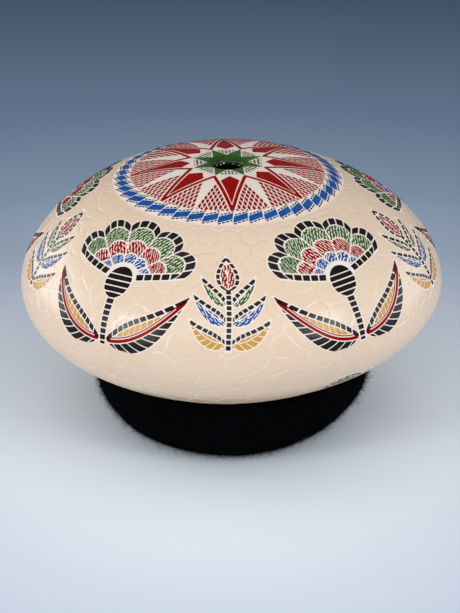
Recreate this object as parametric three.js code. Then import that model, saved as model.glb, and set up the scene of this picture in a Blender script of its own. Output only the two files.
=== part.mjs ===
// A carved and slip-painted seed pot on its padded ring stand.
// Millimetres, +Z up. The origin is on the floor, on the axis that the pot and the ring share.
// The pot is one fired clay wall with a small mouth, rounded over at its edge. Its underside is
// round, so it sits loose in a knitted ring: a stiff hoop, the padding round it, and a sleeve
// whose two edges meet in a laced seam on the side of the hole.
import * as THREE from "three";

// The pot's outer form
const POT_RADIUS = 110;
const POT_UNDER = 60.8; // from the widest level down to the lowest point
const POT_OVER = 63.2; // from the widest level up to the crest round the mouth
const FLOOR_GAP = 20.2; // the air between the floor and the pot's lowest point
const UNDER_SIDE_PULL = 34.7; // how far the underside keeps upright below the widest level
const UNDER_BASE_PULL = 23.5; // how far the underside keeps level round its lowest point
const OVER_SIDE_PULL = 30.5; // how far the shoulder keeps upright above the widest level
const OVER_CREST_PULL = 46.5; // how far the shoulder keeps level outside the crest

// The clay wall and the mouth
const WALL = 4.5;
const BASE_WALL = 6;
const CREST_RADIUS = 12; // where the shoulder starts to roll into the mouth
const MOUTH_RADIUS = 7.3;
const MOUTH_EDGE = 0.9; // the rounding of the mouth's inner edge

// The ring stand's outer form
const RING_RADIUS = 72.5;
const RING_FOOT_RADIUS = 49; // where the outer wall meets the floor
const RING_BULGE = 38; // how far out from its own centre the outer wall curves
const RING_TUCK = 11; // how far below the pot's surface the outer wall stands upright
const RING_RIM = 4; // the width of the rounded rim
const RING_HOLE_RADIUS = 32;
const RING_HOLE_BULGE = 6; // how far the wall of the hole bellies out

// The ring stand's layers
const SLEEVE = 1.8;
const HOOP_RADIUS = 54; // of the circle that the hoop's rod follows
const HOOP_ROD = 6.5; // the rod's own radius
const SEAM_GAP = 1; // between the two edges of the sleeve
const LAYER_GAP = 0.3; // the clearance between one layer and the next
const SEAT_GAP = 0.3; // the clearance between the pot and the ring

// The thread that laces the sleeve's two edges together
const THREAD_RADIUS = 0.45;
const STITCHES = 30;
const STITCH_REACH = 2.2; // how far past the middle of the seam each stitch goes

// How finely the curves are cut
const TURN_STEPS = 44;
const CURVE_STEPS = 12;
const INNER_STEPS = 7;
const RING_WALL_STEPS = 7;
const SEAT_STEPS = 5;
const ARC_STEPS = 4;
const ROD_STEPS = 12;
const THREAD_SIDES = 4;

const POT_LOW = FLOOR_GAP;
const POT_WIDEST = POT_LOW + POT_UNDER;
const POT_CREST = POT_WIDEST + POT_OVER;

const point = (radius, height) => new THREE.Vector2(radius, height);

// The underside from the widest level to the axis, and the shoulder from there to the crest.
// An inset gives the inner face of the wall instead, which is thicker at the base.
function undersideCurve(inset = 0, baseInset = 0) {
  const low = POT_LOW + baseInset;
  return new THREE.CubicBezierCurve(
    point(POT_RADIUS - inset, POT_WIDEST),
    point(POT_RADIUS - inset, POT_WIDEST - UNDER_SIDE_PULL),
    point(UNDER_BASE_PULL, low),
    point(0, low),
  );
}

function shoulderCurve(inset = 0) {
  const crest = POT_CREST - inset;
  return new THREE.CubicBezierCurve(
    point(POT_RADIUS - inset, POT_WIDEST),
    point(POT_RADIUS - inset, POT_WIDEST + OVER_SIDE_PULL),
    point(CREST_RADIUS + OVER_CREST_PULL, crest),
    point(CREST_RADIUS, crest),
  );
}

// Points along an ellipse's arc, both ends included. Angles turn anticlockwise from outward.
function ellipseArc(centre, across, up, from, to, steps = ARC_STEPS) {
  return Array.from({ length: steps + 1 }, (_, i) => {
    const angle = from + ((to - from) * i) / steps;
    return point(
      centre.x + across * Math.cos(angle),
      centre.y + up * Math.sin(angle),
    );
  });
}

// Joins runs of points into one profile, dropping a point that repeats the one before it.
function joined(...runs) {
  const SAME = 1e-3;
  const all = runs.flat();
  return all.filter((p, i) => i === 0 || p.distanceTo(all[i - 1]) > SAME);
}

// Turns a profile of radius and height round the pot's axis.
function turned(profile) {
  const geometry = new THREE.LatheGeometry(profile, TURN_STEPS);
  geometry.rotateX(Math.PI / 2);
  return geometry;
}

function potProfile() {
  const outer = joined(
    undersideCurve().getPoints(CURVE_STEPS).reverse(),
    shoulderCurve().getPoints(CURVE_STEPS),
  );
  const rollWidth = CREST_RADIUS - MOUTH_RADIUS;
  const rollDepth = WALL - MOUTH_EDGE;
  const rollCentre = point(CREST_RADIUS, POT_CREST - rollDepth);
  const roll = ellipseArc(rollCentre, rollWidth, rollDepth, Math.PI / 2, Math.PI);
  const edgeCentre = point(MOUTH_RADIUS + MOUTH_EDGE, rollCentre.y);
  const edge = ellipseArc(edgeCentre, MOUTH_EDGE, MOUTH_EDGE, Math.PI, 1.5 * Math.PI);
  const inner = joined(
    shoulderCurve(WALL).getPoints(INNER_STEPS).reverse(),
    undersideCurve(WALL, BASE_WALL).getPoints(INNER_STEPS),
  );
  return joined(outer, roll, edge, inner);
}

// The place along the pot's underside where it has this radius, from 0 at the widest level
// to 1 on the axis, found by halving.
function undersidePlace(radius) {
  const HALVINGS = 40;
  const curve = undersideCurve();
  let near = 0;
  let far = 1;
  for (let i = 0; i < HALVINGS; i++) {
    const middle = (near + far) / 2;
    if (curve.getPoint(middle).x > radius) near = middle;
    else far = middle;
  }
  return near;
}

// Where the pot's underside lies at this place, moved out from the clay by a gap.
function undersidePoint(place, gap) {
  const curve = undersideCurve();
  const along = curve.getTangent(place);
  return curve.getPoint(place).add(point(-along.y, along.x).multiplyScalar(gap));
}

// The ring's seat: the pot's underside from one radius in to another, moved out by a gap.
function seat(outerRadius, innerRadius, gap) {
  const from = undersidePlace(outerRadius);
  const to = undersidePlace(innerRadius);
  return Array.from({ length: SEAT_STEPS + 1 }, (_, i) =>
    undersidePoint(from + ((to - from) * i) / SEAT_STEPS, gap),
  );
}

const SEAT_INNER_RADIUS = RING_HOLE_RADIUS + RING_HOLE_BULGE;
const SEAM_HEIGHT = undersidePoint(undersidePlace(SEAT_INNER_RADIUS), SEAT_GAP).y / 2;

// The wall of the ring's hole, a half ellipse between the seat's inner end and the floor.
function holeWall(inset) {
  const top = undersidePoint(undersidePlace(SEAT_INNER_RADIUS), SEAT_GAP + inset);
  const centre = point(top.x, (top.y + inset) / 2);
  const across = top.x - RING_HOLE_RADIUS - inset;
  const up = (top.y - inset) / 2;
  const angleAt = (height) => Math.PI - Math.asin((height - centre.y) / up);
  return { centre, across, up, angleAt };
}

// The ring's section, open at the seam: from the seam's lower edge down to the floor, out to
// the foot, up the outer wall, over the rim, in along the seat and down to the upper edge.
// An inset gives the same section further in, where the next layer's face lies.
function ringOutline(inset) {
  const wallTop = undersidePoint(undersidePlace(RING_RADIUS), 0).y - RING_TUCK;
  const centre = point(RING_RADIUS - RING_BULGE, wallTop);
  const footOut = (RING_FOOT_RADIUS - centre.x) / RING_BULGE;
  const across = RING_BULGE - inset;
  const up = wallTop / Math.sqrt(1 - footOut ** 2) - inset;
  const footAngle = Math.asin((inset - wallTop) / up);
  const rimAngle = Math.asin((-2 * inset) / up);
  const outerWall = ellipseArc(centre, across, up, footAngle, rimAngle, RING_WALL_STEPS);
  const rimFoot = outerWall[outerWall.length - 1];
  const seatRun = seat(RING_RADIUS - RING_RIM - inset, SEAT_INNER_RADIUS, SEAT_GAP + inset);
  const rim = new THREE.QuadraticBezierCurve(
    rimFoot,
    point(rimFoot.x, seatRun[0].y),
    seatRun[0],
  ).getPoints(ARC_STEPS);
  const hole = holeWall(inset);
  const half = SEAM_GAP / 2;
  const lowerEdge = hole.angleAt(SEAM_HEIGHT - half);
  const upperEdge = hole.angleAt(SEAM_HEIGHT + half);
  return joined(
    ellipseArc(hole.centre, hole.across, hole.up, lowerEdge, 1.5 * Math.PI),
    outerWall,
    rim,
    seatRun,
    ellipseArc(hole.centre, hole.across, hole.up, Math.PI / 2, upperEdge),
  );
}

const closed = (profile) => [...profile, profile[0].clone()];

function sleeveProfile() {
  return closed(joined(ringOutline(0), ringOutline(SLEEVE).reverse()));
}

// The hoop's rod runs halfway between the floor and the seat.
function hoopCentre() {
  return point(HOOP_RADIUS, undersidePoint(undersidePlace(HOOP_RADIUS), SEAT_GAP).y / 2);
}

// The padding fills the sleeve and is slit from its seam to the channel that holds the hoop.
// The channel is cut in straight steps, so its corners stand out far enough to clear the rod.
function paddingProfile() {
  const centre = hoopCentre();
  const channel = (HOOP_ROD + LAYER_GAP) / Math.cos(Math.PI / ROD_STEPS);
  const half = SEAM_GAP / 2;
  const angleAt = (height) => Math.PI - Math.asin((height - centre.y) / channel);
  return closed(
    joined(
      ringOutline(SLEEVE + LAYER_GAP),
      ellipseArc(
        centre,
        channel,
        channel,
        angleAt(SEAM_HEIGHT + half),
        angleAt(SEAM_HEIGHT - half) - 2 * Math.PI,
        ROD_STEPS,
      ),
    ),
  );
}

function hoopProfile() {
  return ellipseArc(hoopCentre(), HOOP_ROD, HOOP_ROD, 0, 2 * Math.PI, ROD_STEPS);
}

// The middle of the lacing thread: it crosses the seam once for each half stitch and lies just
// clear of the sleeve, on the side of the hole.
function lacingPoint(turn) {
  const hole = holeWall(0);
  const height = SEAM_HEIGHT + STITCH_REACH * Math.sin(turn * STITCHES);
  const angle = hole.angleAt(height);
  const clear = LAYER_GAP + THREAD_RADIUS;
  const radius = hole.centre.x + (hole.across + clear) * Math.cos(angle);
  return new THREE.Vector3(radius * Math.cos(turn), radius * Math.sin(turn), height);
}

// One endless tube along the lacing: a ring of corners at each step, joined to the next.
function lacingGeometry() {
  const STEPS_PER_STITCH = 6;
  const AHEAD = 1e-4; // the small turn that gives the thread's direction
  const steps = STITCHES * STEPS_PER_STITCH;
  const corners = [];
  const faces = [];
  for (let i = 0; i < steps; i++) {
    const turn = (2 * Math.PI * i) / steps;
    const middle = lacingPoint(turn);
    const along = lacingPoint(turn + AHEAD).sub(middle).normalize();
    const inward = new THREE.Vector3(-Math.cos(turn), -Math.sin(turn), 0);
    const side = new THREE.Vector3().crossVectors(along, inward).normalize();
    const out = new THREE.Vector3().crossVectors(side, along);
    for (let j = 0; j < THREAD_SIDES; j++) {
      const angle = (2 * Math.PI * j) / THREAD_SIDES;
      const corner = middle
        .clone()
        .addScaledVector(side, THREAD_RADIUS * Math.cos(angle))
        .addScaledVector(out, THREAD_RADIUS * Math.sin(angle));
      corners.push(corner.x, corner.y, corner.z);
      const nextRing = ((i + 1) % steps) * THREAD_SIDES;
      const nextSide = (j + 1) % THREAD_SIDES;
      const here = i * THREAD_SIDES;
      faces.push(here + j, nextRing + j, here + nextSide);
      faces.push(here + nextSide, nextRing + j, nextRing + nextSide);
    }
  }
  const geometry = new THREE.BufferGeometry();
  geometry.setAttribute("position", new THREE.Float32BufferAttribute(corners, 3));
  geometry.setIndex(faces);
  geometry.computeVertexNormals();
  return geometry;
}

const clay = new THREE.MeshStandardMaterial({ color: 0xe3ccb2, roughness: 0.42, metalness: 0 });
const knit = new THREE.MeshStandardMaterial({ color: 0x0b0a0c, roughness: 0.95, metalness: 0 });
const wadding = new THREE.MeshStandardMaterial({ color: 0xd9d4c8, roughness: 1, metalness: 0 });
const cane = new THREE.MeshStandardMaterial({ color: 0xb98f5a, roughness: 0.6, metalness: 0 });
const thread = new THREE.MeshStandardMaterial({ color: 0x151417, roughness: 0.9, metalness: 0 });

function piece(name, geometry, material) {
  const mesh = new THREE.Mesh(geometry, material);
  mesh.name = name;
  return mesh;
}

const ringStand = new THREE.Group();
ringStand.add(
  piece("ring_hoop", turned(hoopProfile()), cane),
  piece("ring_padding", turned(paddingProfile()), wadding),
  piece("ring_sleeve", turned(sleeveProfile()), knit),
  piece("ring_seam_thread", lacingGeometry(), thread),
);

const carvedPot = new THREE.Group();
carvedPot.add(ringStand, piece("pot_body", turned(potProfile()), clay));

export default carvedPot;
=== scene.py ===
import math

import bmesh
import bpy
import numpy as np
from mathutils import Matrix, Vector
from mathutils.geometry import delaunay_2d_cdt
from mathutils.kdtree import KDTree


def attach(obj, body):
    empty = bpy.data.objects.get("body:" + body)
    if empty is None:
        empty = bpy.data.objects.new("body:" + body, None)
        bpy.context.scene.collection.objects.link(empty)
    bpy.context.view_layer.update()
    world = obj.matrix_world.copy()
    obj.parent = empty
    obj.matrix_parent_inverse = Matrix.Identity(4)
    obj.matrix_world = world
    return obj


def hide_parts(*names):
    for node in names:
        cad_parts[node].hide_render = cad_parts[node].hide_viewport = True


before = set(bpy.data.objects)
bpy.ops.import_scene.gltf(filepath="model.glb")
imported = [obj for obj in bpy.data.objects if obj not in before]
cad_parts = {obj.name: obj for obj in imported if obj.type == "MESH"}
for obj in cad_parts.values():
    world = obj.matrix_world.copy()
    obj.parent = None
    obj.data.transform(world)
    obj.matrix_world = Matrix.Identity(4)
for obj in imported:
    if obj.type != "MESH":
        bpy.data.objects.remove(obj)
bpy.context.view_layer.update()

MM = 0.001
TURN = 2 * math.pi

# The pot's form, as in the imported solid
POT_RADIUS = 110
POT_LOW = 20.2
POT_WIDEST = 81
POT_CREST = 144.2
UNDER_SIDE_PULL = 34.7
UNDER_BASE_PULL = 23.5
OVER_SIDE_PULL = 30.5
OVER_CREST_PULL = 46.5
WALL = 4.5
BASE_WALL = 6
CREST_RADIUS = 12
MOUTH_RADIUS = 7.3
MOUTH_EDGE = 0.9

# The ring stand's form
RING_RADIUS = 72.5
RING_FOOT_RADIUS = 49
RING_BULGE = 38
RING_TUCK = 11
RING_RIM = 4
RING_HOLE_RADIUS = 32
RING_HOLE_BULGE = 6
SLEEVE = 1.8
SEAM_GAP = 1
LAYER_GAP = 0.3
SEAT_GAP = 0.3
HOOP_RADIUS = 54
HOOP_ROD = 6.5
STITCHES = 30
STITCH_REACH = 2.2

# How far the hand-built pot is out of true
MOUTH_DRIFT = -1.65  # the mouth and the medallion, to the left
BASE_DRIFT = -2.8  # the underside, to the left

# The camera that sees the pot as the photograph does, in metres and degrees
CAMERA_PLACE = (-0.0005, -1.1741, 0.6037)
CAMERA_DOWN = 24.75
CAMERA_LENS = 143.88

# Heights above the burnished clay
SCRAPED_LIFT = 0.04
SLIP_LIFT = 0.12
RIM_DEPTH = 0.2


def eased(t):
    """Turns a straight run from 0 to 1 into one that starts and ends softly."""
    t = np.clip(t, 0, 1)
    return t * t * (3 - 2 * t)


# The pot's surface

def bezier(corners, steps):
    """Points along the curve that two end points and two pulls between them give."""
    t = np.linspace(0, 1, steps + 1)[:, None]
    a, b, c, d = (np.array(corner, float) for corner in corners)
    return (1 - t) ** 3 * a + 3 * (1 - t) ** 2 * t * b + 3 * (1 - t) * t * t * c + t ** 3 * d


def arc(centre, across, up, start, end, steps):
    """Points along part of an ellipse with half sizes across and up."""
    angle = np.linspace(start, end, steps + 1)
    return np.column_stack([
        centre[0] + across * np.cos(angle),
        centre[1] + up * np.sin(angle),
    ])


def shoulder_curve(inset=0):
    """The upper wall's section, from the widest level to the crest."""
    crest = POT_CREST - inset
    return bezier([
        (POT_RADIUS - inset, POT_WIDEST),
        (POT_RADIUS - inset, POT_WIDEST + OVER_SIDE_PULL),
        (CREST_RADIUS + OVER_CREST_PULL, crest),
        (CREST_RADIUS, crest),
    ], 1200)


def underside_curve(inset=0, base_inset=0):
    """The lower wall's section, from the widest level to the middle of the base."""
    low = POT_LOW + base_inset
    return bezier([
        (POT_RADIUS - inset, POT_WIDEST),
        (POT_RADIUS - inset, POT_WIDEST - UNDER_SIDE_PULL),
        (UNDER_BASE_PULL, low),
        (0, low),
    ], 1200)


def run_length(path):
    return np.concatenate([[0], np.cumsum(np.linalg.norm(np.diff(path, axis=0), axis=1))])


def evenly(path, step):
    """The same path with its points set at even distances."""
    length = run_length(path)
    count = max(2, int(round(length[-1] / step)))
    at = np.linspace(0, length[-1], count + 1)
    return np.column_stack([np.interp(at, length, path[:, 0]), np.interp(at, length, path[:, 1])])


class PotWall:
    """The outer face from the mouth's inner edge over the shoulder to the underside's middle.
    run is the distance along it, and swell is that distance divided by the radius, summed up,
    in which small shapes keep their form when the wall is laid out flat round the mouth."""

    def __init__(self):
        depth = WALL - MOUTH_EDGE
        centre = POT_CREST - depth
        edge = arc((MOUTH_RADIUS + MOUTH_EDGE, centre), MOUTH_EDGE, MOUTH_EDGE, 1.5 * math.pi, math.pi, 30)
        roll = arc((CREST_RADIUS, centre), CREST_RADIUS - MOUTH_RADIUS, depth, math.pi, math.pi / 2, 80)
        parts = [edge, roll, shoulder_curve()[::-1], underside_curve()]
        path = evenly(np.vstack(parts), 0.1)
        self.run = run_length(path)
        self.radius = path[:, 0]
        self.height = path[:, 1]
        along = np.gradient(path, self.run, axis=0)
        along /= np.linalg.norm(along, axis=1)[:, None]
        self.out_radius = -along[:, 1]
        self.out_height = along[:, 0]
        steps = np.diff(self.run) / ((self.radius[1:] + self.radius[:-1]) / 2 + 1e-6)
        self.swell = np.concatenate([[0], np.cumsum(steps)])
        widest = int(np.argmax(self.radius))
        self.widest_index = widest
        self.widest_run = float(self.run[widest])
        upper = slice(0, widest)
        past_lip = (self.radius[upper] >= CREST_RADIUS) & (self.run[upper] > 3)
        self.crest_run = float(self.run[upper][past_lip][0])

    def radius_at(self, run):
        return np.interp(run, self.run, self.radius)

    def swell_at(self, run):
        return np.interp(run, self.run, self.swell)

    def run_at_swell(self, swell):
        return np.interp(swell, self.swell, self.run)


wall = PotWall()


def mouth_lean(radius):
    """How far the shoulder is moved sideways: fully inside 60 mm and not at all past 90 mm."""
    return MOUTH_DRIFT * (1 - eased((radius - 60) / 30))


def base_lean(height):
    """How far the underside is moved sideways: fully from 36 mm under the widest level down."""
    return BASE_DRIFT * eased((POT_WIDEST - height) / 36)


def out_of_true(run, height, radius):
    """How far the wall is moved sideways from a truly turned one. To the left is below zero."""
    return np.where(run < wall.widest_run, mouth_lean(radius), base_lean(height))


def unevenness(run, turn, radius):
    """The slight swells that building by hand leaves in the wall."""
    waves = (
        0.10 * np.sin(3 * turn + 1.1 + run / 60)
        + 0.07 * np.sin(5 * turn + 2.3 - run / 25)
        + 0.04 * np.sin(11 * turn + 0.4 + run / 13)
    )
    past_widest = run - wall.widest_run
    on_the_left = np.exp(2.5 * (np.cos(turn + math.pi / 2) - 1))
    flat_left = -0.8 * on_the_left * np.exp(-(((past_widest + 18) / 17) ** 2))
    full_below = 0.45 * np.exp(-(((past_widest - 27) / 14) ** 2))
    return waves * np.clip(radius / 70, 0, 1) + flat_left + full_below


def on_wall(run, turn, lift=0.0):
    """Points on the pot's outer face, lifted off it by a distance. Turn 0 faces the camera."""
    radius = np.interp(run, wall.run, wall.radius)
    height = np.interp(run, wall.run, wall.height)
    out_radius = np.interp(run, wall.run, wall.out_radius)
    out_height = np.interp(run, wall.run, wall.out_height)
    lean = out_of_true(run, height, radius)
    off = lift + unevenness(run, turn, radius)
    radius = radius + out_radius * off
    height = height + out_height * off
    return np.column_stack([radius * np.sin(turn) + lean, -radius * np.cos(turn), height])


# Meshes

def make_mesh(name, points, faces, material, sharp=None):
    """A mesh object from points in millimetres and lists of faces, each list with one number
    of corners. sharp is the angle in degrees past which an edge stays crisp."""
    mesh = bpy.data.meshes.new(name)
    listed = [face for group in faces for face in np.asarray(group).tolist()]
    mesh.from_pydata((np.asarray(points) * MM).tolist(), [], listed)
    mesh.polygons.foreach_set("use_smooth", [True] * len(mesh.polygons))
    if sharp is not None:
        mesh.set_sharp_from_angle(angle=math.radians(sharp))
    mesh.materials.append(material)
    mesh.update()
    piece = bpy.data.objects.new(name, mesh)
    bpy.context.scene.collection.objects.link(piece)
    return piece


def weld(piece):
    """Joins corners that lie in one place."""
    work = bmesh.new()
    work.from_mesh(piece.data)
    bmesh.ops.remove_doubles(work, verts=work.verts, dist=1e-6)
    work.to_mesh(piece.data)
    work.free()


def band_faces(rows, columns, first=0):
    """Four-cornered faces between rows of points that run round the axis."""
    row = np.arange(rows - 1)[:, None] * columns
    here = np.arange(columns)
    after = (here + 1) % columns
    corners = [row + here, row + after, row + columns + after, row + columns + here]
    return np.stack(corners, axis=-1).reshape(-1, 4) + first


def closing_faces(rows, columns):
    """The faces that join the last row of points to the first, so that a ring's section closes."""
    first = np.arange(columns)
    last = (rows - 1) * columns + first
    return np.column_stack([last, np.roll(last, -1), np.roll(first, -1), first])


def contour_polygons(field):
    """Covers the part of a grid where the field is below zero. Returns polygons by number of
    corners and the pieces of rim, as numbers of grid points and of crossings between them."""
    rows, cols = field.shape
    inside = field < 0
    point = np.arange(rows * cols).reshape(rows, cols)
    level = rows * cols + np.arange(rows * (cols - 1)).reshape(rows, cols - 1)
    first_upright = rows * cols + rows * (cols - 1)
    upright = first_upright + np.arange((rows - 1) * cols).reshape(rows - 1, cols)
    corner = [point[:-1, :-1], point[:-1, 1:], point[1:, 1:], point[1:, :-1]]
    crossing = [level[:-1, :], upright[:, 1:], level[1:, :], upright[:, :-1]]
    held = [inside[:-1, :-1], inside[:-1, 1:], inside[1:, 1:], inside[1:, :-1]]
    code = sum(h.astype(int) << k for k, h in enumerate(held))
    polygons = {}
    rims = []
    for pattern in range(1, 16):
        matching = code == pattern
        if not matching.any():
            continue
        walk = []
        kinds = []
        for k in range(4):
            now, then = pattern >> k & 1, pattern >> (k + 1) % 4 & 1
            if now:
                walk.append(corner[k][matching])
                kinds.append("corner")
            if now != then:
                walk.append(crossing[k][matching])
                kinds.append("leave" if now else "enter")
        polygons.setdefault(len(walk), []).append(np.column_stack(walk))
        for i, kind in enumerate(kinds):
            if kind == "leave":
                rims.append(np.column_stack([walk[i], walk[(i + 1) % len(walk)]]))
    return {k: np.vstack(v) for k, v in polygons.items()}, np.vstack(rims)


def crossing_places(field, across, up):
    """The x and y of each grid point and of each place where the field may cross zero."""
    x, y = np.meshgrid(across, up)

    def between(a, b, pa, pb):
        share = np.clip(a / np.where(np.abs(a - b) < 1e-9, 1e-9, a - b), 0.06, 0.94)
        return pa + (pb - pa) * share

    level_x = between(field[:, :-1], field[:, 1:], x[:, :-1], x[:, 1:])
    upright_y = between(field[:-1], field[1:], y[:-1], y[1:])
    return (
        np.concatenate([x.ravel(), level_x.ravel(), x[:-1].ravel()]),
        np.concatenate([y.ravel(), y[:, :-1].ravel(), upright_y.ravel()]),
    )


class Patch:
    """The part of a flat drawing that one slip covers, as polygons with their rims."""

    def __init__(self, field, across, up):
        polygons, rims = contour_polygons(field)
        x, y = crossing_places(field, across, up)
        used = np.unique(np.concatenate([p.ravel() for p in polygons.values()] + [rims.ravel()]))
        fresh = np.full(x.size, -1)
        fresh[used] = np.arange(used.size)
        self.x = x[used]
        self.y = y[used]
        self.polygons = [fresh[p] for p in polygons.values()]
        self.rims = fresh[rims]


def slip_sheet(name, parts, lift, material):
    """One thin layer on the pot made of many patches, each with the rule that lays it on the
    wall. Its rim turns down into the clay."""
    points = []
    faces = {}
    first = 0
    for patch, lay in parts:
        run, turn = lay(patch.x, patch.y)
        top = on_wall(run, turn, lift)
        rim_points = np.unique(patch.rims)
        below = np.full(patch.x.size, -1)
        below[rim_points] = np.arange(rim_points.size) + len(top)
        bottom = on_wall(run[rim_points], turn[rim_points], lift - RIM_DEPTH)
        points += [top, bottom]
        for polygons in patch.polygons:
            faces.setdefault(polygons.shape[1], []).append(polygons + first)
        a, b = patch.rims[:, 0], patch.rims[:, 1]
        skirt = np.column_stack([b, a, below[a], below[b]])
        faces.setdefault(4, []).append(skirt + first)
        first += len(top) + len(bottom)
    piece = make_mesh(name, np.vstack(points), [np.vstack(f) for f in faces.values()], material, sharp=40)
    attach(piece, "pot")
    return piece


# Flat drawing with distances: below zero is inside a shape

def joined(*fields):
    return np.minimum.reduce(fields)


def shared(*fields):
    return np.maximum.reduce(fields)


def without(field, *cuts):
    return np.maximum.reduce([field] + [-cut for cut in cuts])


def line(x, y, start, end):
    """The distance to a straight line between two points."""
    ax, ay = start
    bx, by = end[0] - ax, end[1] - ay
    t = np.clip(((x - ax) * bx + (y - ay) * by) / (bx * bx + by * by), 0, 1)
    return np.hypot(x - ax - bx * t, y - ay - by * t)


def polygon(x, y, corners):
    """The signed distance to a straight-sided shape."""
    nearest = np.full(np.shape(x), 1e9)
    side = np.ones(np.shape(x))
    for (ax, ay), (bx, by) in zip(corners, corners[1:] + corners[:1]):
        nearest = np.minimum(nearest, line(x, y, (ax, ay), (bx, by)))
        over_a = y >= ay
        over_b = y < by
        left = (bx - ax) * (y - ay) - (by - ay) * (x - ax) > 0
        flip = (over_a & over_b & left) | (~over_a & ~over_b & ~left)
        side = np.where(flip, -side, side)
    return nearest * side


def stripes(position, pitch, half_width):
    """Stripes across one measure, at an even pitch."""
    return np.abs((position / pitch) % 1 - 0.5) * pitch - half_width


def cells(position, pitch, gap):
    """A row of cells with gaps between them, along one measure."""
    return stripes(position, pitch, (pitch - gap) / 2)


def scattered(column, row, seed):
    """A number from 0 to 1 for each place of a lattice, the same each time."""
    return (np.sin(column * 12.9898 + row * 78.233 + seed * 37.719) * 43758.5453) % 1


SCRATCH_ROW = 1.25
SCRATCH_WIDTH = 0.52


def scratches(along, across, seed, pitch=3.1, length=2.3, lean=0.25):
    """Short hand-made scratches through the slip, in staggered rows."""
    u = along * math.cos(lean) + across * math.sin(lean)
    v = across * math.cos(lean) - along * math.sin(lean)
    row0 = np.floor(v / SCRATCH_ROW)
    nearest = np.full(np.shape(u), 1e9)
    for row_step in (-1, 0, 1):
        row = row0 + row_step
        stagger = 0.5 * (row % 2) + 0.3 * scattered(row, row, seed + 5)
        col0 = np.floor(u / pitch - stagger)
        for col_step in (-1, 0, 1):
            col = col0 + col_step
            mid_u = (col + 0.5 + stagger + 0.25 * (scattered(col, row, seed) - 0.5)) * pitch
            mid_v = (row + 0.5 + 0.3 * (scattered(col, row, seed + 1) - 0.5)) * SCRATCH_ROW
            tilt = 0.5 * (scattered(col, row, seed + 2) - 0.5)
            half = length * (0.38 + 0.22 * scattered(col, row, seed + 3))
            du, dv = u - mid_u, v - mid_v
            side = dv - tilt * du - 0.06 * (du * du - half * half * 0.3)
            past = np.maximum(np.abs(du) - half, 0)
            nearest = np.minimum(nearest, np.hypot(side, past))
    return nearest - SCRATCH_WIDTH / 2


# The medallion

STAR_POINTS = 8
STAR_TURN = math.radians(3)
SECTOR = TURN / STAR_POINTS
GREEN_TIP = 19.4
GREEN_NOTCH = 10.3
SMALL_CHECKS_TOP = 17.3
SMALL_CHECKS_EDGE = 17.9
KITE = [(0, 19.3), (4.8, 23.9), (0, 44.6), (-4.8, 23.9)]
ARM_PEAK = 20.6
ARM_TIP = 49.8
ARM_HALF_WIDTH = 0.85
ARM_GAP = 1.45  # the pale line between an arm and the checks beside it
SPIKE_TIP = (28.0, math.radians(15))  # the pale spike beside a checked field: radius and angle
SPIKE_FOOT = (50.5, math.radians(21.8))
RED_EDGE = 50
ROPE_BLOCKS = 45
ROPE_MIDDLE = 55.85  # the middle of a block at its start
ROPE_SLANT = 0.3286  # how far it turns in, for each eighth of its length
BLOCK_HALF_WIDTH = 2.0
DASH_GAP = 0.9
DASH_HALF_WIDTH = 0.42
MEDALLION_EDGE = 59.5
EDGE_GROOVE = 1.2  # from the medallion's edge out to the groove that rings it
MEDALLION_REACH = 62.0
PLAN_START = CREST_RADIUS - wall.crest_run  # the drawing's radius at the mouth's inner edge
# Where the slip is chipped off the mouth's edge: angle from the front, radius in the drawing, size
MOUTH_CHIPS = (
    (95, 5.1, 0.5), (122, 5.5, 0.45), (137, 4.8, 0.4), (158, 5.2, 0.35), (196, 5.6, 0.45), (209, 5.0, 0.5),
    (232, 5.3, 0.4), (258, 4.9, 0.5), (300, 5.4, 0.4), (25, 5.2, 0.5), (60, 5.0, 0.4),
)


def around_the_middle(radius, angle):
    """The x and y of a place in the drawing of one sector."""
    return radius * math.sin(angle), radius * math.cos(angle)


def from_line(x, y, start, end):
    """How far to the right of a straight line each place lies."""
    way = np.array(end) - np.array(start)
    way /= np.linalg.norm(way)
    return (x - start[0]) * way[1] - (y - start[1]) * way[0]


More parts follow.
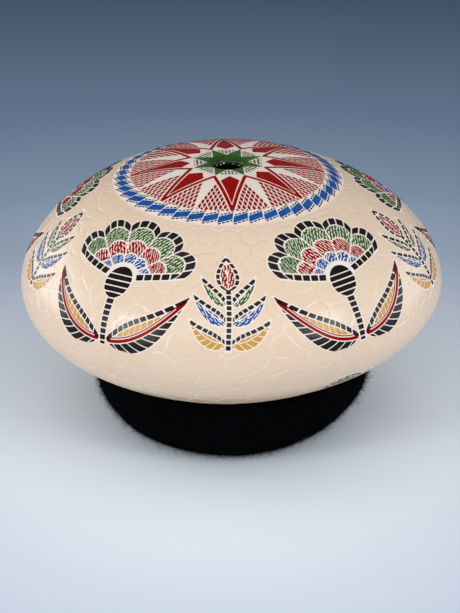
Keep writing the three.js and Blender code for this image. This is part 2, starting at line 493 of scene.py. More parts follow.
def medallion_fields(step):
    """An eight-pointed star of slip round the mouth, with checks between its arms and a rope of
    blocks round it. One sector is drawn and folded round."""
    across = np.arange(-MEDALLION_REACH, MEDALLION_REACH + step, step)
    gx, gy = np.meshgrid(across, across)
    spread = np.hypot(gx, gy)
    turn = np.arctan2(gx, -gy)
    radius = wall.radius_at(np.maximum(spread - PLAN_START, 0))
    wobble = 0.16 * np.sin(3 * turn + radius / 5) + 0.10 * np.sin(7 * turn - radius / 3)
    radius = radius + wobble * eased((radius - CREST_RADIUS) / 20)
    turn = turn - STAR_TURN + 0.006 * np.sin(5 * turn + 0.7)
    throat = PLAN_START + 0.05 - spread

    folded = np.abs((turn + SECTOR / 2) % SECTOR - SECTOR / 2)
    x = radius * np.sin(folded)
    y = radius * np.cos(folded)
    half = SECTOR / 2
    tip = np.array(around_the_middle(GREEN_TIP, half))
    notch = np.array([0, GREEN_NOTCH])
    edge = (tip - notch) / np.linalg.norm(tip - notch)
    star_side = (y - notch[1]) * edge[0] - (x - notch[0]) * edge[1]
    chips = joined(*(
        np.hypot(gx - far * math.sin(math.radians(at)), gy + far * math.cos(math.radians(at))) - size
        for at, far, size in MOUTH_CHIPS
    ))
    green = without(shared(star_side, radius - GREEN_TIP, throat), chips)

    small_checks = shared(
        cells(x + 0.9, 1.8, 0.52),
        cells(y - GREEN_NOTCH - 0.6, 1.9, 0.7),
        0.75 - star_side,
        y - SMALL_CHECKS_TOP,
        radius - SMALL_CHECKS_EDGE,
    )

    peak = around_the_middle(ARM_PEAK, half)
    arm = line(x, y, peak, (0, ARM_TIP)) - ARM_HALF_WIDTH
    from_arm = from_line(x, y, peak, (0, ARM_TIP))
    from_spike = from_line(x, y, around_the_middle(*SPIKE_TIP), around_the_middle(*SPIKE_FOOT))
    triangle = shared(from_spike, ARM_GAP - from_arm, radius - RED_EDGE)
    lattice = shared(cells(from_arm - ARM_GAP, 2.42, 0.62), cells(from_spike - 0.29, 2.1, 0.58))
    red_checks = shared(triangle, lattice)
    red = shared(joined(polygon(x, y, KITE), arm, red_checks), radius - RED_EDGE)

    block_turn = TURN / ROPE_BLOCKS
    lean = (radius - ROPE_MIDDLE) * 0.14 / ROPE_MIDDLE
    along = ((turn + lean) / block_turn) % 1 * 8
    eighth = ROPE_MIDDLE * block_turn / 8
    across_block = radius - ROPE_MIDDLE + ROPE_SLANT * (along - 0.5)
    in_block = (np.abs(along - 4) - 3.7) * eighth
    block = shared(np.abs(across_block) - BLOCK_HALF_WIDTH, in_block)
    dash = cells(along * eighth - 0.45, 1.92, 0.56)
    past_block = np.abs(across_block) - BLOCK_HALF_WIDTH - DASH_GAP
    dashes = shared(np.abs(past_block) - DASH_HALF_WIDTH, dash, in_block)

    ground = shared(radius - MEDALLION_EDGE, throat)
    slips = {"green": green, "dark": small_checks, "red": red, "blue": block, "navy": dashes}
    return across, across, slips, ground


def lay_medallion(x, y):
    """The rule that puts the medallion's drawing on the wall."""
    spread = np.hypot(x, y)
    return spread - PLAN_START, np.arctan2(x, -y)


# Plant motifs round the side

def bent_line(x, y, start, bend, tip, samples=70):
    """How far along a curved line each place lies, from 0 to 1, and how far to its left."""
    t = np.linspace(0, 1, samples)[:, None]
    start, bend, tip = (np.array(p, float) for p in (start, bend, tip))
    path = (1 - t) ** 2 * start + 2 * t * (1 - t) * bend + t * t * tip
    way = np.gradient(path, axis=0)
    spacing = np.linalg.norm(way, axis=1)
    way = way / spacing[:, None]
    flat_x, flat_y = x.ravel(), y.ravel()
    nearest = np.full(flat_x.size, 1e9)
    along = np.zeros(flat_x.size)
    side = np.zeros(flat_x.size)
    for i in range(samples):
        dx, dy = flat_x - path[i, 0], flat_y - path[i, 1]
        far = dx * dx + dy * dy
        closer = far < nearest
        forward = (dx * way[i, 0] + dy * way[i, 1]) / spacing[i]
        across = dy * way[i, 0] - dx * way[i, 1]
        nearest = np.where(closer, far, nearest)
        along = np.where(closer, (i + forward) / (samples - 1), along)
        side = np.where(closer, across, side)
    length = float(np.sum(np.linalg.norm(np.diff(path, axis=0), axis=1)))
    return along.reshape(x.shape), side.reshape(x.shape), length


def leaf_outline(along, side, length, half_width):
    """A leaf's shape round its middle line, and its half width at each place along it."""
    swell = half_width * np.sin(math.pi * np.clip(along, 0, 1) ** 0.8) ** 0.85
    return shared(np.abs(side) - swell, -along * length, (along - 1) * length), swell


LEAF_CELLS = 2.6  # the width of the black cells along a long leaf's edge


def feathered_leaf(x, y, start, bend, tip, half_width):
    """An ochre leaf with a red rib, pale veins, black cells on its outer edge and black barbs
    on its inner one."""
    along, side, length = bent_line(x, y, start, bend, tip)
    outline, swell = leaf_outline(along, side, length, half_width)
    distance = along * length
    veins = shared(stripes(distance - 0.75 * np.abs(side), 4.1, 0.36), 1.5 - np.abs(side))
    rib_line = shared(np.abs(side - 0.15) - 0.3, 3 - distance, distance - length + 6)
    border = swell - side
    outer_cells = shared(cells(distance, 4.3, 0.85), border - LEAF_CELLS, outline)
    ochre = without(shared(outline, LEAF_CELLS + 0.75 - border, 1.45 - side), veins)
    red = without(shared(outline, side - 1.0, -1.7 - side), rib_line)
    barbs = stripes(distance + 0.9 * side, 4.6, 0.38)
    black = joined(outer_cells, without(shared(outline, side + 2.3), barbs))
    return outline, {"ochre": ochre, "red": red, "black": black}


FAN_BASE = -6.0  # the height in the drawing from which a blossom fans out
FAN_REACH = 31.5
LOBES = 5
LOBE_ANGLE = 31.0
BAND_PITCH = 3.1  # of the pale bands across a blossom's cup and stem


def bloom_fields(step, seed):
    """A fan-shaped blossom on a banded stem, with a pair of long leaves."""
    across = np.arange(-42, 42 + step, step)
    up = np.arange(-40, 38 + step, step)
    x, y = np.meshgrid(across, up)
    dx, dy = x, y - FAN_BASE
    far = np.hypot(dx, dy)
    angle = np.degrees(np.arctan2(dx, dy))
    spread = LOBE_ANGLE * LOBES / 2
    within = (angle + spread) / LOBE_ANGLE
    place = within % 1 - 0.5
    reach = FAN_REACH + 6.0 * np.clip(np.cos(math.pi * place), 0, 1) ** 0.55
    arc_way = np.radians(angle) * far
    side_edge = (np.abs(angle) - spread) * math.pi / 180 * np.maximum(far, 6)
    fan = shared(far - reach, side_edge)
    border = reach - far
    lobe_line = np.abs(np.abs(place) - 0.5) * math.radians(LOBE_ANGLE) * far - 0.42
    cell_turn = np.abs((within * 4) % 1 - 0.5) / 4 * math.radians(LOBE_ANGLE) * far
    cell_gap = math.radians(LOBE_ANGLE) * far / 8 - cell_turn - 0.42
    rim_cells = without(shared(fan, border - 4.3), cell_gap)
    side_cells = shared(side_edge, -side_edge - 3.1, cells(far, 4.4, 0.8), 9 - far, 4.3 + 0.8 - border)
    field_zone = shared(5.1 - border, side_edge + 3.9)
    red_line, blue_line = 0.64 * reach, 0.42 * reach
    hatch = [
        scratches(far, arc_way * 0.8, seed + i, lean=lean)
        for i, lean in enumerate((0.45, -0.4, 0.5))
    ]
    green = without(shared(field_zone, red_line + 0.45 - far), hatch[0], lobe_line)
    red = without(shared(field_zone, far - red_line + 0.45, blue_line + 0.45 - far), hatch[1], lobe_line)
    blue = without(shared(field_zone, far - blue_line + 0.45, 10.2 - far), hatch[2], lobe_line)

    cup = np.hypot(dx / 0.86, (dy + 0.5)) - 8.2
    cup_bands = stripes(dy + 20, BAND_PITCH, 0.36)
    cup_black = without(cup, shared(cup_bands, dy - 3.5))
    stem_width = 2.3 - 0.028 * (-8 - y)
    stem = shared(np.abs(x) - stem_width * 0.95, y + 9, -38.5 - y)
    stem_black = without(stem, stripes(y + 60, BAND_PITCH, 0.36))
    stem_all = joined(cup, stem)

    leaves = [
        feathered_leaf(x * way, y, (2.2, -35.5), (24.0, -35.5), (39.5, -8.0), 8.0)
        for way in (1, -1)
    ]
    leaf_outlines = joined(leaves[0][0], leaves[1][0])
    away = stem_all - 0.8
    slips = {"green": without(green, away), "blue": without(blue, away)}
    fan_red = without(red, away)
    slips["red"] = joined(fan_red, *(without(leaf["red"], away) for _, leaf in leaves))
    slips["ochre"] = joined(*(without(leaf["ochre"], away) for _, leaf in leaves))
    leaf_black = joined(*(without(leaf["black"], away) for _, leaf in leaves))
    slips["black"] = joined(
        without(joined(rim_cells, side_cells), away), leaf_black, cup_black, stem_black,
    )
    ground = joined(fan, stem_all, leaf_outlines) - 0.75
    return across, up, slips, ground


def sprig_fields(step, seed):
    """A small upright sprig: a bud on a stem with three pairs of leaves."""
    across = np.arange(-23, 23 + step, step)
    up = np.arange(-26, 26 + step, step)
    x, y = np.meshgrid(across, up)
    stem = shared(np.abs(x) - 1.15, y - 6, -24 - y)
    stem_black = without(stem, stripes(y + 60, 2.7, 0.33))
    ground = [stem]
    slips = {"black": [stem_black], "green": [], "red": [], "blue": [], "ochre": []}
    pairs = [
        ((0.6, -20), (11, -21), (19.5, -9.5), 3.9, "ochre"),
        ((0.6, -10), (9, -9.5), (17.5, 3.0), 3.6, "blue"),
        ((0.6, -2), (7, 1), (13.0, 13.0), 3.0, "green"),
    ]
    away = stem - 0.7
    for start, bend, tip, half_width, colour in pairs:
        for way in (1, -1):
            along, side, length = bent_line(x * way, y, start, bend, tip, 40)
            outline, swell = leaf_outline(along, side, length, half_width)
            distance = along * length
            border = swell - side
            edge_cells = shared(cells(distance, 3.2, 0.7), border - 1.9, outline)
            rib = np.abs(side) - 0.28
            inner = shared(outline, 2.5 - border)
            if colour == "ochre":
                veins = stripes(distance - 0.7 * np.abs(side), 3.2, 0.3)
                body = without(inner, rib, shared(veins, 0.6 - np.abs(side)))
            else:
                marks = scratches(distance, side, seed + len(ground), pitch=3.0, length=2.0)
                body = without(inner, rib, marks)
            slips["black"].append(without(edge_cells, away))
            slips[colour].append(without(body, away))
            ground.append(outline)
    dy = y - 5.5
    bud_width = 5.6 * np.sin(math.pi * np.clip(dy / 19, 0, 1) ** 0.7) ** 0.8
    bud = shared(np.abs(x) - bud_width, -dy, dy - 19)
    bud_cells = shared(bud, bud_width - np.abs(x) - 1.7, cells(dy, 3.1, 0.7))
    heart = shared(bud, 2.3 - (bud_width - np.abs(x)))
    marks = scratches(dy, x, seed + 31, pitch=3.0, length=2.0)
    slips["red"].append(without(heart, marks, np.abs(x) - 0.28))
    slips["black"].append(bud_cells)
    ground.append(bud)
    fields = {colour: joined(*shapes) for colour, shapes in slips.items()}
    return across, up, fields, joined(*ground) - 0.7


def leaf_fields(step, seed):
    """A single long leaf, for the band under the belly."""
    across = np.arange(-13, 13 + step, step)
    up = np.arange(-7, 7 + step, step)
    x, y = np.meshgrid(across, up)
    along, side, length = bent_line(x, y, (-11, -2.5), (0, 5.5), (11, -1.5), 40)
    outline, swell = leaf_outline(along, side, length, 4.6)
    distance = along * length
    border = swell - np.abs(side)
    edge_cells = shared(cells(distance, 3.3, 0.7), border - 1.9, outline)
    rib = np.abs(side) - 0.3
    body = without(shared(outline, 2.5 - border), rib, scratches(distance, side, seed, pitch=3.0, length=2.0))
    return across, up, {"black": edge_cells, "green": body}, outline - 0.7


def lay_motif(middle_run, middle_turn, tilt, scale, seed):
    """The rule that puts a flat drawing on the wall, slightly bent as a freehand one is."""
    def lay(x, y):
        wave = seed * 1.7
        bent_x = x + 0.45 * np.sin(y / 9 + wave) + 0.25 * np.sin(x / 6 + 2 * wave)
        bent_y = y + 0.45 * np.sin(x / 10 + 0.5 + wave) + 0.25 * np.sin(y / 7 + wave)
        px = scale * (bent_x * math.cos(tilt) - bent_y * math.sin(tilt))
        py = scale * (bent_x * math.sin(tilt) + bent_y * math.cos(tilt))
        run = middle_run - py
        return run, middle_turn + px / wall.radius_at(run)
    return lay


BLOOMS = 5
LEAVES = 3
# From the crest down to the middle of each kind of drawing
BLOOM_RUN = 84.5
SPRIG_RUN = 92
LEAF_RUN = 150.5


def motif_places():
    """Where each motif sits: its kind, the middle of it on the wall, its lean and its scale."""
    rng = np.random.default_rng(11)
    places = []
    for i in range(BLOOMS):
        run = wall.crest_run + BLOOM_RUN + rng.uniform(-1, 1)
        turn = math.radians(360 / BLOOMS * (i + 0.5)) + rng.uniform(-0.02, 0.02)
        places.append(("bloom", run, turn, rng.uniform(-0.05, 0.05), 1 + rng.uniform(-0.02, 0.02)))
    for i in range(BLOOMS):
        run = wall.crest_run + SPRIG_RUN + rng.uniform(-2, 2)
        turn = math.radians(360 / BLOOMS * i) + rng.uniform(-0.02, 0.02)
        places.append(("sprig", run, turn, rng.uniform(-0.12, 0.12), 1 + rng.uniform(-0.03, 0.06)))
    for i in range(LEAVES):
        turn = math.radians(36.5 + 360 / LEAVES * i)
        places.append(("leaf", wall.crest_run + LEAF_RUN, turn, 0.3 + rng.uniform(-0.05, 0.05), 1))
    return places


# The cobbled ground

FIRST_COBBLES = 40  # from the crest out to the first row of cobbles, which the medallion hides
LAST_COBBLES = 118  # from the widest level down to the last row
SHORTEST_LINE = 1.2
GUIDE_STEPS = 300  # in the groove that rings the medallion


def cobble_seeds(rng):
    """The middles of the cobbles, in rows that start regular at the medallion and loosen."""
    seeds = []
    run = wall.crest_run + FIRST_COBBLES
    row = 0
    while run < wall.widest_run + LAST_COBBLES:
        radius = float(wall.radius_at(run))
        looseness = 0.35 + 0.65 * float(eased((run - wall.crest_run - 50) / 45))
        width = 8.0 + 5.0 * looseness
        count = max(6, int(round(TURN * radius / width)))
        for i in range(count):
            turn = TURN * (i + 0.5 * (row % 2)) / count
            turn += looseness * rng.uniform(-0.34, 0.34) * width / radius
            seeds.append((run + looseness * rng.uniform(-0.36, 0.36) * (width - 2), turn))
        run += 6.6 + 4.4 * looseness
        row += 1
    return np.array(seeds)


def flat_from(run, turn):
    """Lays the wall out flat round the mouth without changing small shapes."""
    spread = np.exp(wall.swell_at(run))
    return np.column_stack([spread * np.sin(turn), -spread * np.cos(turn)])


def wall_from(flat):
    """The places on the wall that flat points stand for."""
    run = wall.run_at_swell(np.log(np.hypot(flat[:, 0], flat[:, 1])))
    return run, np.arctan2(flat[:, 0], -flat[:, 1])


def triangulated(flat):
    """Joins flat points into triangles, none of them thinner than it has to be."""
    points = [Vector((float(a), float(b))) for a, b in flat]
    found = delaunay_2d_cdt(points, [], [], 0, 1e-7)
    return np.array([tuple(v) for v in found[0]]), np.array([f for f in found[2] if len(f) == 3])


def middles_of_circles(flat, triangles):
    """The centre of the circle through each triangle's corners."""
    a, b, c = flat[triangles[:, 0]], flat[triangles[:, 1]], flat[triangles[:, 2]]
    ab, ac = b - a, c - a
    cross = 2 * (ab[:, 0] * ac[:, 1] - ab[:, 1] * ac[:, 0])
    ab2, ac2 = (ab ** 2).sum(1), (ac ** 2).sum(1)
    x = (ac[:, 1] * ab2 - ab[:, 1] * ac2) / cross
    y = (ab[:, 0] * ac2 - ac[:, 0] * ab2) / cross
    return a + np.column_stack([x, y])


def groove_lines(rng):
    """The lines between the cobbles, as runs of points on the wall, each with its depth."""
    seeds = cobble_seeds(rng)
    flat, triangles = triangulated(flat_from(seeds[:, 0], seeds[:, 1]))
    middles = middles_of_circles(flat, triangles)
    neighbours = {}
    for index, triangle in enumerate(triangles):
        for a, b in zip(triangle, np.roll(triangle, -1)):
            neighbours.setdefault((min(a, b), max(a, b)), []).append(index)
    first, last = wall.crest_run + FIRST_COBBLES + 7, wall.widest_run + LAST_COBBLES - 6
    lines = []
    for pair in neighbours.values():
        if len(pair) < 2:
            continue
        start, end = middles[pair[0]], middles[pair[1]]
        (run_a, run_b), (turn_a, turn_b) = wall_from(np.array([start, end]))
        if min(run_a, run_b) < first or max(run_a, run_b) > last:
            continue
        ends = on_wall(np.array([run_a, run_b]), np.array([turn_a, turn_b]))
        length = float(np.linalg.norm(ends[1] - ends[0]))
        depth = rng.uniform(0.6, 1.1) if rng.random() > 0.07 else 0
        bow = rng.uniform(-0.15, 0.15) * length
        wave, phase = rng.uniform(0.15, 0.45), rng.uniform(0, TURN)
        if length < SHORTEST_LINE or depth == 0:
            continue
        steps = max(2, int(math.ceil(length / SHORTEST_LINE)))
        t = np.linspace(0, 1, steps + 1)
        flat_run, flat_turn = wall_from(start + (end - start) * t[:, None])
        side_run = -(turn_b - turn_a + math.pi) % TURN - math.pi
        across = np.array([run_b - run_a, side_run * float(wall.radius_at(run_a))])
        across /= np.linalg.norm(across) + 1e-9
        off = bow * np.sin(math.pi * t) + wave * np.sin(t * length / 2.2 + phase) * np.sin(math.pi * t)
        lines.append((
            flat_run + off * across[1],
            flat_turn + off * -across[0] / wall.radius_at(flat_run),
            depth,
        ))
    upper = slice(0, wall.widest_index)
    guide_run = float(np.interp(MEDALLION_EDGE + EDGE_GROOVE, wall.radius[upper], wall.run[upper]))
    guide_turn = TURN * np.arange(GUIDE_STEPS + 1) / GUIDE_STEPS
    lines.append((np.full(GUIDE_STEPS + 1, guide_run), guide_turn, 0.6))
    return lines


class ClearOfMotifs:
    """Tells how far a place on the wall is from the nearest painted drawing."""

    def __init__(self):
        self.drawings = []

    def add(self, place, across, up, ground):
        self.drawings.append((*place[1:], across, up, ground))

    def distance(self, run, turn):
        nearest = run - wall.crest_run - (MEDALLION_EDGE - CREST_RADIUS) - EDGE_GROOVE
        for middle_run, middle_turn, tilt, scale, across, up, ground in self.drawings:
            around = (turn - middle_turn + math.pi) % TURN - math.pi
            px = around * wall.radius_at(run) / scale
            py = (middle_run - run) / scale
            x = px * math.cos(tilt) + py * math.sin(tilt)
            y = py * math.cos(tilt) - px * math.sin(tilt)
            col = np.clip(np.rint((x - across[0]) / (across[1] - across[0])), 0, len(across) - 1)
            row = np.clip(np.rint((y - up[0]) / (up[1] - up[0])), 0, len(up) - 1)
            here = ground[row.astype(int), col.astype(int)]
            beyond_x = np.maximum(np.abs(x - (across[0] + across[-1]) / 2) - (across[-1] - across[0]) / 2, 0)
            beyond_y = np.maximum(np.abs(y - (up[0] + up[-1]) / 2) - (up[-1] - up[0]) / 2, 0)
            nearest = np.minimum(nearest, here + beyond_x + beyond_y)
        return nearest


GROOVE_DEPTH = 0.26
GROOVE_SPREAD = 0.3
SOFT_DEPTH = 0.03
SOFT_SPREAD = 1.6
# Where the clay mesh has its corners: beside a groove's middle, and elsewhere
GROOVE_ROWS = (0, 0.3, -0.3, 0.62, -0.62, 1.6, -1.6)
GROOVE_REACH = 2.0
PAINT_MARGIN = 1.6  # grooves fade out this close to a drawing
CLOSEST_CORNERS = 0.28
LIP_COLUMNS = 128
LIP_STEP = 0.62
WALL_STEP = 2.8
BASE_DISC = 12  # the radius of the plain middle of the underside


def clay_points(lines, clear):
    """Where the clay mesh has its corners: close together along the grooves, and in rings
    elsewhere. Also the middles of the grooves with their depths."""
    runs, turns, depths, groups = [], [], [], []
    for run, turn, depth in lines:
        way_run = np.gradient(run)
        way_side = np.gradient(np.unwrap(turn)) * wall.radius_at(run)
        size = np.hypot(way_run, way_side) + 1e-9
        fade = eased(clear.distance(run, turn) / PAINT_MARGIN)
        for group, off in enumerate(GROOVE_ROWS):
            runs.append(run + off * -way_side / size)
            turns.append(turn + off * way_run / size / wall.radius_at(run))
            depths.append(depth * fade)
            groups.append(np.full(run.size, group))
    run, turn, depth, group = (np.concatenate(a) for a in (runs, turns, depths, groups))
    shown = depth > 0.02
    run, turn, depth, group = run[shown], turn[shown], depth[shown], group[shown]
    middle = group == 0
    groove_places = on_wall(run[middle], turn[middle])
    groove_depths = depth[middle]
    order = np.argsort(group, kind="stable")
    run, turn = run[order], turn[order]
    boxes = np.floor(on_wall(run, turn) / CLOSEST_CORNERS).astype(int)
    _, kept = np.unique(boxes, axis=0, return_index=True)
    run, turn = run[kept], turn[kept]

    tree = KDTree(len(groove_places))
    for i, place in enumerate(groove_places):
        tree.insert(place, i)
    tree.balance()
    last = float(wall.run[-1]) - BASE_DISC
    ring_runs, ring_turns = [], []
    at = 0.0
    row = 0
    while at < last - 0.5:
        radius = float(wall.radius_at(at))
        fine = at < wall.crest_run + 3
        step = LIP_STEP if fine else WALL_STEP
        count = LIP_COLUMNS if fine else max(LIP_COLUMNS // 2, int(round(TURN * radius / step)))
        turn_row = TURN * (np.arange(count) + 0.5 * (row % 2) * (at > 0)) / count
        ring_runs.append(np.full(count, at))
        ring_turns.append(turn_row)
        at += step if fine else step * 0.9
        row += 1
    ring_run, ring_turn = np.concatenate(ring_runs), np.concatenate(ring_turns)
    places = on_wall(ring_run, ring_turn)
    free = np.array([tree.find(place)[2] > GROOVE_REACH for place in places])
    end_turns = TURN * np.arange(LIP_COLUMNS) / LIP_COLUMNS
    all_run = np.concatenate([run, ring_run[free], np.full(LIP_COLUMNS, last)])
    all_turn = np.concatenate([turn, ring_turn[free], end_turns])
    return all_run, all_turn, tree, groove_depths, last


def inside_profile():
    """The wall's inner face, from the mouth's edge to the middle of the base."""
    shoulder = shoulder_curve(WALL)[::-1]
    under = underside_curve(WALL, BASE_WALL)
    start = np.array([[MOUTH_RADIUS + MOUTH_EDGE, POT_CREST - WALL]])
    return evenly(np.vstack([start, shoulder, under]), 7)


def clay_body(lines, clear, clay, inner_clay):
    """The fired wall in one closed mesh, with the cobbles' grooves pressed into its outside."""
    run, turn, tree, groove_depths, last = clay_points(lines, clear)
    flat, triangles = triangulated(flat_from(run, turn))
    run, turn = wall_from(flat)
    near_mouth = run[triangles].max(axis=1) < 0.2
    near_base = run[triangles].min(axis=1) > last - 0.2
    triangles = triangles[~near_mouth & ~near_base]
    places = on_wall(run, turn)
    depth = np.zeros(run.size)
    mask = np.zeros(run.size)
    for i, place in enumerate(places):
        _, index, far = tree.find(place)
        strength = groove_depths[index]
        sharp = math.exp(-((far / GROOVE_SPREAD) ** 2))
        soft = math.exp(-((far / SOFT_SPREAD) ** 2))
        depth[i] = strength * (GROOVE_DEPTH * sharp + SOFT_DEPTH * soft)
        mask[i] = strength * sharp
    outer = on_wall(run, turn, -depth)

    columns = LIP_COLUMNS
    around = TURN * np.arange(columns) / columns
    base_runs = np.linspace(last, float(wall.run[-1]) - 1.5, 6)
    base = np.vstack([on_wall(np.full(columns, at), around) for at in base_runs])
    pole = on_wall(np.array([wall.run[-1]]), np.array([0.0]))
    first = len(outer)
    base_faces = band_faces(len(base_runs), columns, first)[:, ::-1]
    pole_index = first + len(base)
    last_row = first + (len(base_runs) - 1) * columns + np.arange(columns)
    pole_faces = np.column_stack([last_row, np.full(columns, pole_index), np.roll(last_row, -1)])[:, ::-1]

    profile = inside_profile()
    inner = []
    for radius, height in profile[:-1]:
        lean = mouth_lean(radius) if height > POT_WIDEST else base_lean(height)
        inner.append(np.column_stack([
            radius * np.sin(around) + lean,
            -radius * np.cos(around),
            np.full(columns, height),
        ]))
    inner[0] = on_wall(np.zeros(columns), around)
    inner_pole = np.array([[BASE_DRIFT, 0, profile[-1][1]]])
    inner_first = pole_index + 1
    inner_faces = band_faces(len(inner), columns, inner_first)
    inner_last = inner_first + (len(inner) - 1) * columns + np.arange(columns)
    inner_pole_index = inner_first + len(inner) * columns
    inner_pole_faces = np.column_stack([
        inner_last, np.roll(inner_last, -1), np.full(columns, inner_pole_index),
    ])

    points = np.vstack([outer, base, pole] + inner + [inner_pole])
    groups = [triangles, base_faces, pole_faces, inner_faces, inner_pole_faces]
    piece = make_mesh("clay_pot", points, groups, clay)
    piece.data.materials.append(inner_clay)
    outside = len(triangles) + len(base_faces) + len(pole_faces)
    marks = np.zeros(len(piece.data.polygons), int)
    marks[outside:] = 1
    piece.data.polygons.foreach_set("material_index", marks)
    groove = piece.data.attributes.new("groove", "FLOAT", "POINT")
    groove.data.foreach_set("value", np.concatenate([mask, np.zeros(len(points) - mask.size)]))
    weld(piece)
    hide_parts("pot_body")
    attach(piece, "pot")
    return piece


# The ring stand

def underside_at(radius):
    """The height of the pot's underside at a radius."""
    low = wall.run > wall.widest_run
    return np.interp(radius, wall.radius[low][::-1], wall.height[low][::-1])


def seat_run(outer_radius, inner_radius, gap):
    """The seat's line under the pot, from its outer end to its inner one."""
    radius = np.linspace(outer_radius, inner_radius, 40)
    height = underside_at(radius)
    slope = np.gradient(height, radius)
    size = np.hypot(1, slope)
    return np.column_stack([radius + gap * slope / size, height - gap / size])


def seat_point(radius, gap):
    """The place on the seat at one radius."""
    return seat_run(radius, radius - 0.1, gap)[0]


SEAT_INNER_RADIUS = RING_HOLE_RADIUS + RING_HOLE_BULGE


def hole_wall(inset):
    """The half ellipse that the wall of the ring's hole follows, as its centre and half sizes."""
    top = seat_point(SEAT_INNER_RADIUS, SEAT_GAP + inset)
    centre = (top[0], (top[1] + inset) / 2)
    across = top[0] - RING_HOLE_RADIUS - inset
    up = (top[1] - inset) / 2
    return centre, across, up


SEAM_HEIGHT = float(seat_point(SEAT_INNER_RADIUS, SEAT_GAP)[1] / 2)
HOOP_HEIGHT = float(seat_point(HOOP_RADIUS, SEAT_GAP)[1]) / 2


def hole_angle(height, inset):
    """Where on its ellipse the hole's wall has a height."""
    centre, _, up = hole_wall(inset)
    return math.pi - math.asin((height - centre[1]) / up)


def ring_outline(inset):
    """The ring's section, open at its seam, from the seam's lower edge round to the upper."""
    wall_top = float(underside_at(RING_RADIUS)) - RING_TUCK
    centre = (RING_RADIUS - RING_BULGE, wall_top)
    foot_out = (RING_FOOT_RADIUS - centre[0]) / RING_BULGE
    across = RING_BULGE - inset
    up = wall_top / math.sqrt(1 - foot_out ** 2) - inset
    foot_angle = math.asin((inset - wall_top) / up)
    rim_angle = math.asin((-2 * inset) / up)
    outer = arc(centre, across, up, foot_angle, rim_angle, 60)
    seat = seat_run(RING_RADIUS - RING_RIM - inset, SEAT_INNER_RADIUS, SEAT_GAP + inset)
    t = np.linspace(0, 1, 20)[:, None]
    knee = np.array([outer[-1][0], seat[0][1]])
    rim = (1 - t) ** 2 * outer[-1] + 2 * t * (1 - t) * knee + t * t * seat[0]
    hole_centre, hole_across, hole_up = hole_wall(inset)
    lower = hole_angle(SEAM_HEIGHT - SEAM_GAP / 2, inset)
    upper = hole_angle(SEAM_HEIGHT + SEAM_GAP / 2, inset)
    return np.vstack([
        arc(hole_centre, hole_across, hole_up, lower, 1.5 * math.pi, 30),
        outer,
        rim[1:],
        seat[1:],
        arc(hole_centre, hole_across, hole_up, math.pi / 2, upper, 30)[1:],
    ])


def to_the_pot(points):
    """Moves the ring's top to the pot's real underside, which leans to the left, and draws its
    foot in, more so on the right."""
    x, y, z = points[:, 0], points[:, 1], points[:, 2]
    radius = np.hypot(x, y)
    level = underside_at(np.clip(radius, 20, 80))
    x = x * (1 + np.where(x > 0, 0.0, -0.022) * eased((radius - 60) / 8))
    low = eased(1 - z / 28) * eased((radius - 40) / 12)
    x = x * (1 - np.where(x > 0, 0.1, 0.025) * low)
    y = y * (1 - 0.012 * low)
    lean = base_lean(level)
    moved = underside_at(np.clip(np.hypot(x - lean, y), 20, 82)) - level
    share = eased(z / np.maximum(level, 1))
    return np.column_stack([x, y, z + moved * share])


def turned_points(profile, columns, swell=None):
    """Turns a section round the axis. swell gives each point's move off the section."""
    turn = TURN * np.arange(columns) / columns
    way = np.gradient(profile, axis=0)
    way /= np.linalg.norm(way, axis=1)[:, None] + 1e-12
    out = np.column_stack([way[:, 1], -way[:, 0]])
    rows = []
    for i, (radius, height) in enumerate(profile):
        off = swell(i, turn) if swell else 0
        r = radius + out[i, 0] * off
        z = height + out[i, 1] * off
        rows.append(np.column_stack([r * np.sin(turn), -r * np.cos(turn), z + 0 * turn]))
    return np.vstack(rows)


RIBS = 300
RIB_DEPTH = 0.24
RIB_INSET = 0.25  # the valleys between the ribs lie this far inside the solid's face
KNIT_COLUMNS = RIBS * 4
STITCH_ROW = 1.7
WADDING_COLUMNS = 180


def knit_sleeve(material):
    """The knitted cover: ribbed on the outside, turned in at its two edges, smooth inside."""
    outer = evenly(ring_outline(RIB_INSET), 2.3)
    inner = evenly(ring_outline(SLEEVE)[::-1], 7)
    rows_out = len(outer)
    height_share = outer[:, 1] / outer[:, 1].max()
    flat_foot = eased(outer[:, 1] / 3.0)
    in_seat = (outer[:, 0] < RING_RADIUS - RING_RIM) & (outer[:, 1] > 18)
    pressed = np.where(in_seat, 0.25, 1.0)
    length = run_length(outer)

    def swell(i, turn):
        rib = RIB_DEPTH * np.abs(np.cos(RIBS * turn / 2)) ** 0.7
        wander = turn + 0.01 * np.sin(7 * turn + height_share[i] * 3)
        lumps = 0.25 * np.sin(6 * wander + 1.3) + 0.16 * np.sin(13 * wander + 4 * height_share[i])
        crease = 0.14 * np.sin(29 * wander + length[i] / 5)
        soft = (lumps + crease) * flat_foot[i] * pressed[i] * 0.7
        return rib * (0.4 + 0.6 * pressed[i]) + soft

    outside = turned_points(outer, KNIT_COLUMNS, swell)
    outside[:, 2] = np.maximum(outside[:, 2], 0.0)
    inside = turned_points(inner, KNIT_COLUMNS)
    points = to_the_pot(np.vstack([outside, inside]))
    rows = rows_out + len(inner)
    faces = band_faces(rows, KNIT_COLUMNS)
    closing = closing_faces(rows, KNIT_COLUMNS)
    piece = make_mesh("knit_sleeve", points, [faces[:, ::-1], closing[:, ::-1]], material)
    travel = np.concatenate([length, np.linspace(length[-1], length[-1] + 90, len(inner))])
    # Where the ribs' crests are, for the painted highlight on them.
    ribs = np.abs(np.cos(RIBS * TURN * np.arange(KNIT_COLUMNS) / KNIT_COLUMNS / 2))
    rib = piece.data.attributes.new("rib", "FLOAT", "POINT")
    rib.data.foreach_set("value", np.tile(ribs, rows))
    stitch = piece.data.attributes.new("stitch_row", "FLOAT", "POINT")
    stitch.data.foreach_set("value", np.repeat(travel, KNIT_COLUMNS))
    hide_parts("ring_sleeve")
    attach(piece, "ring_stand")
    return piece


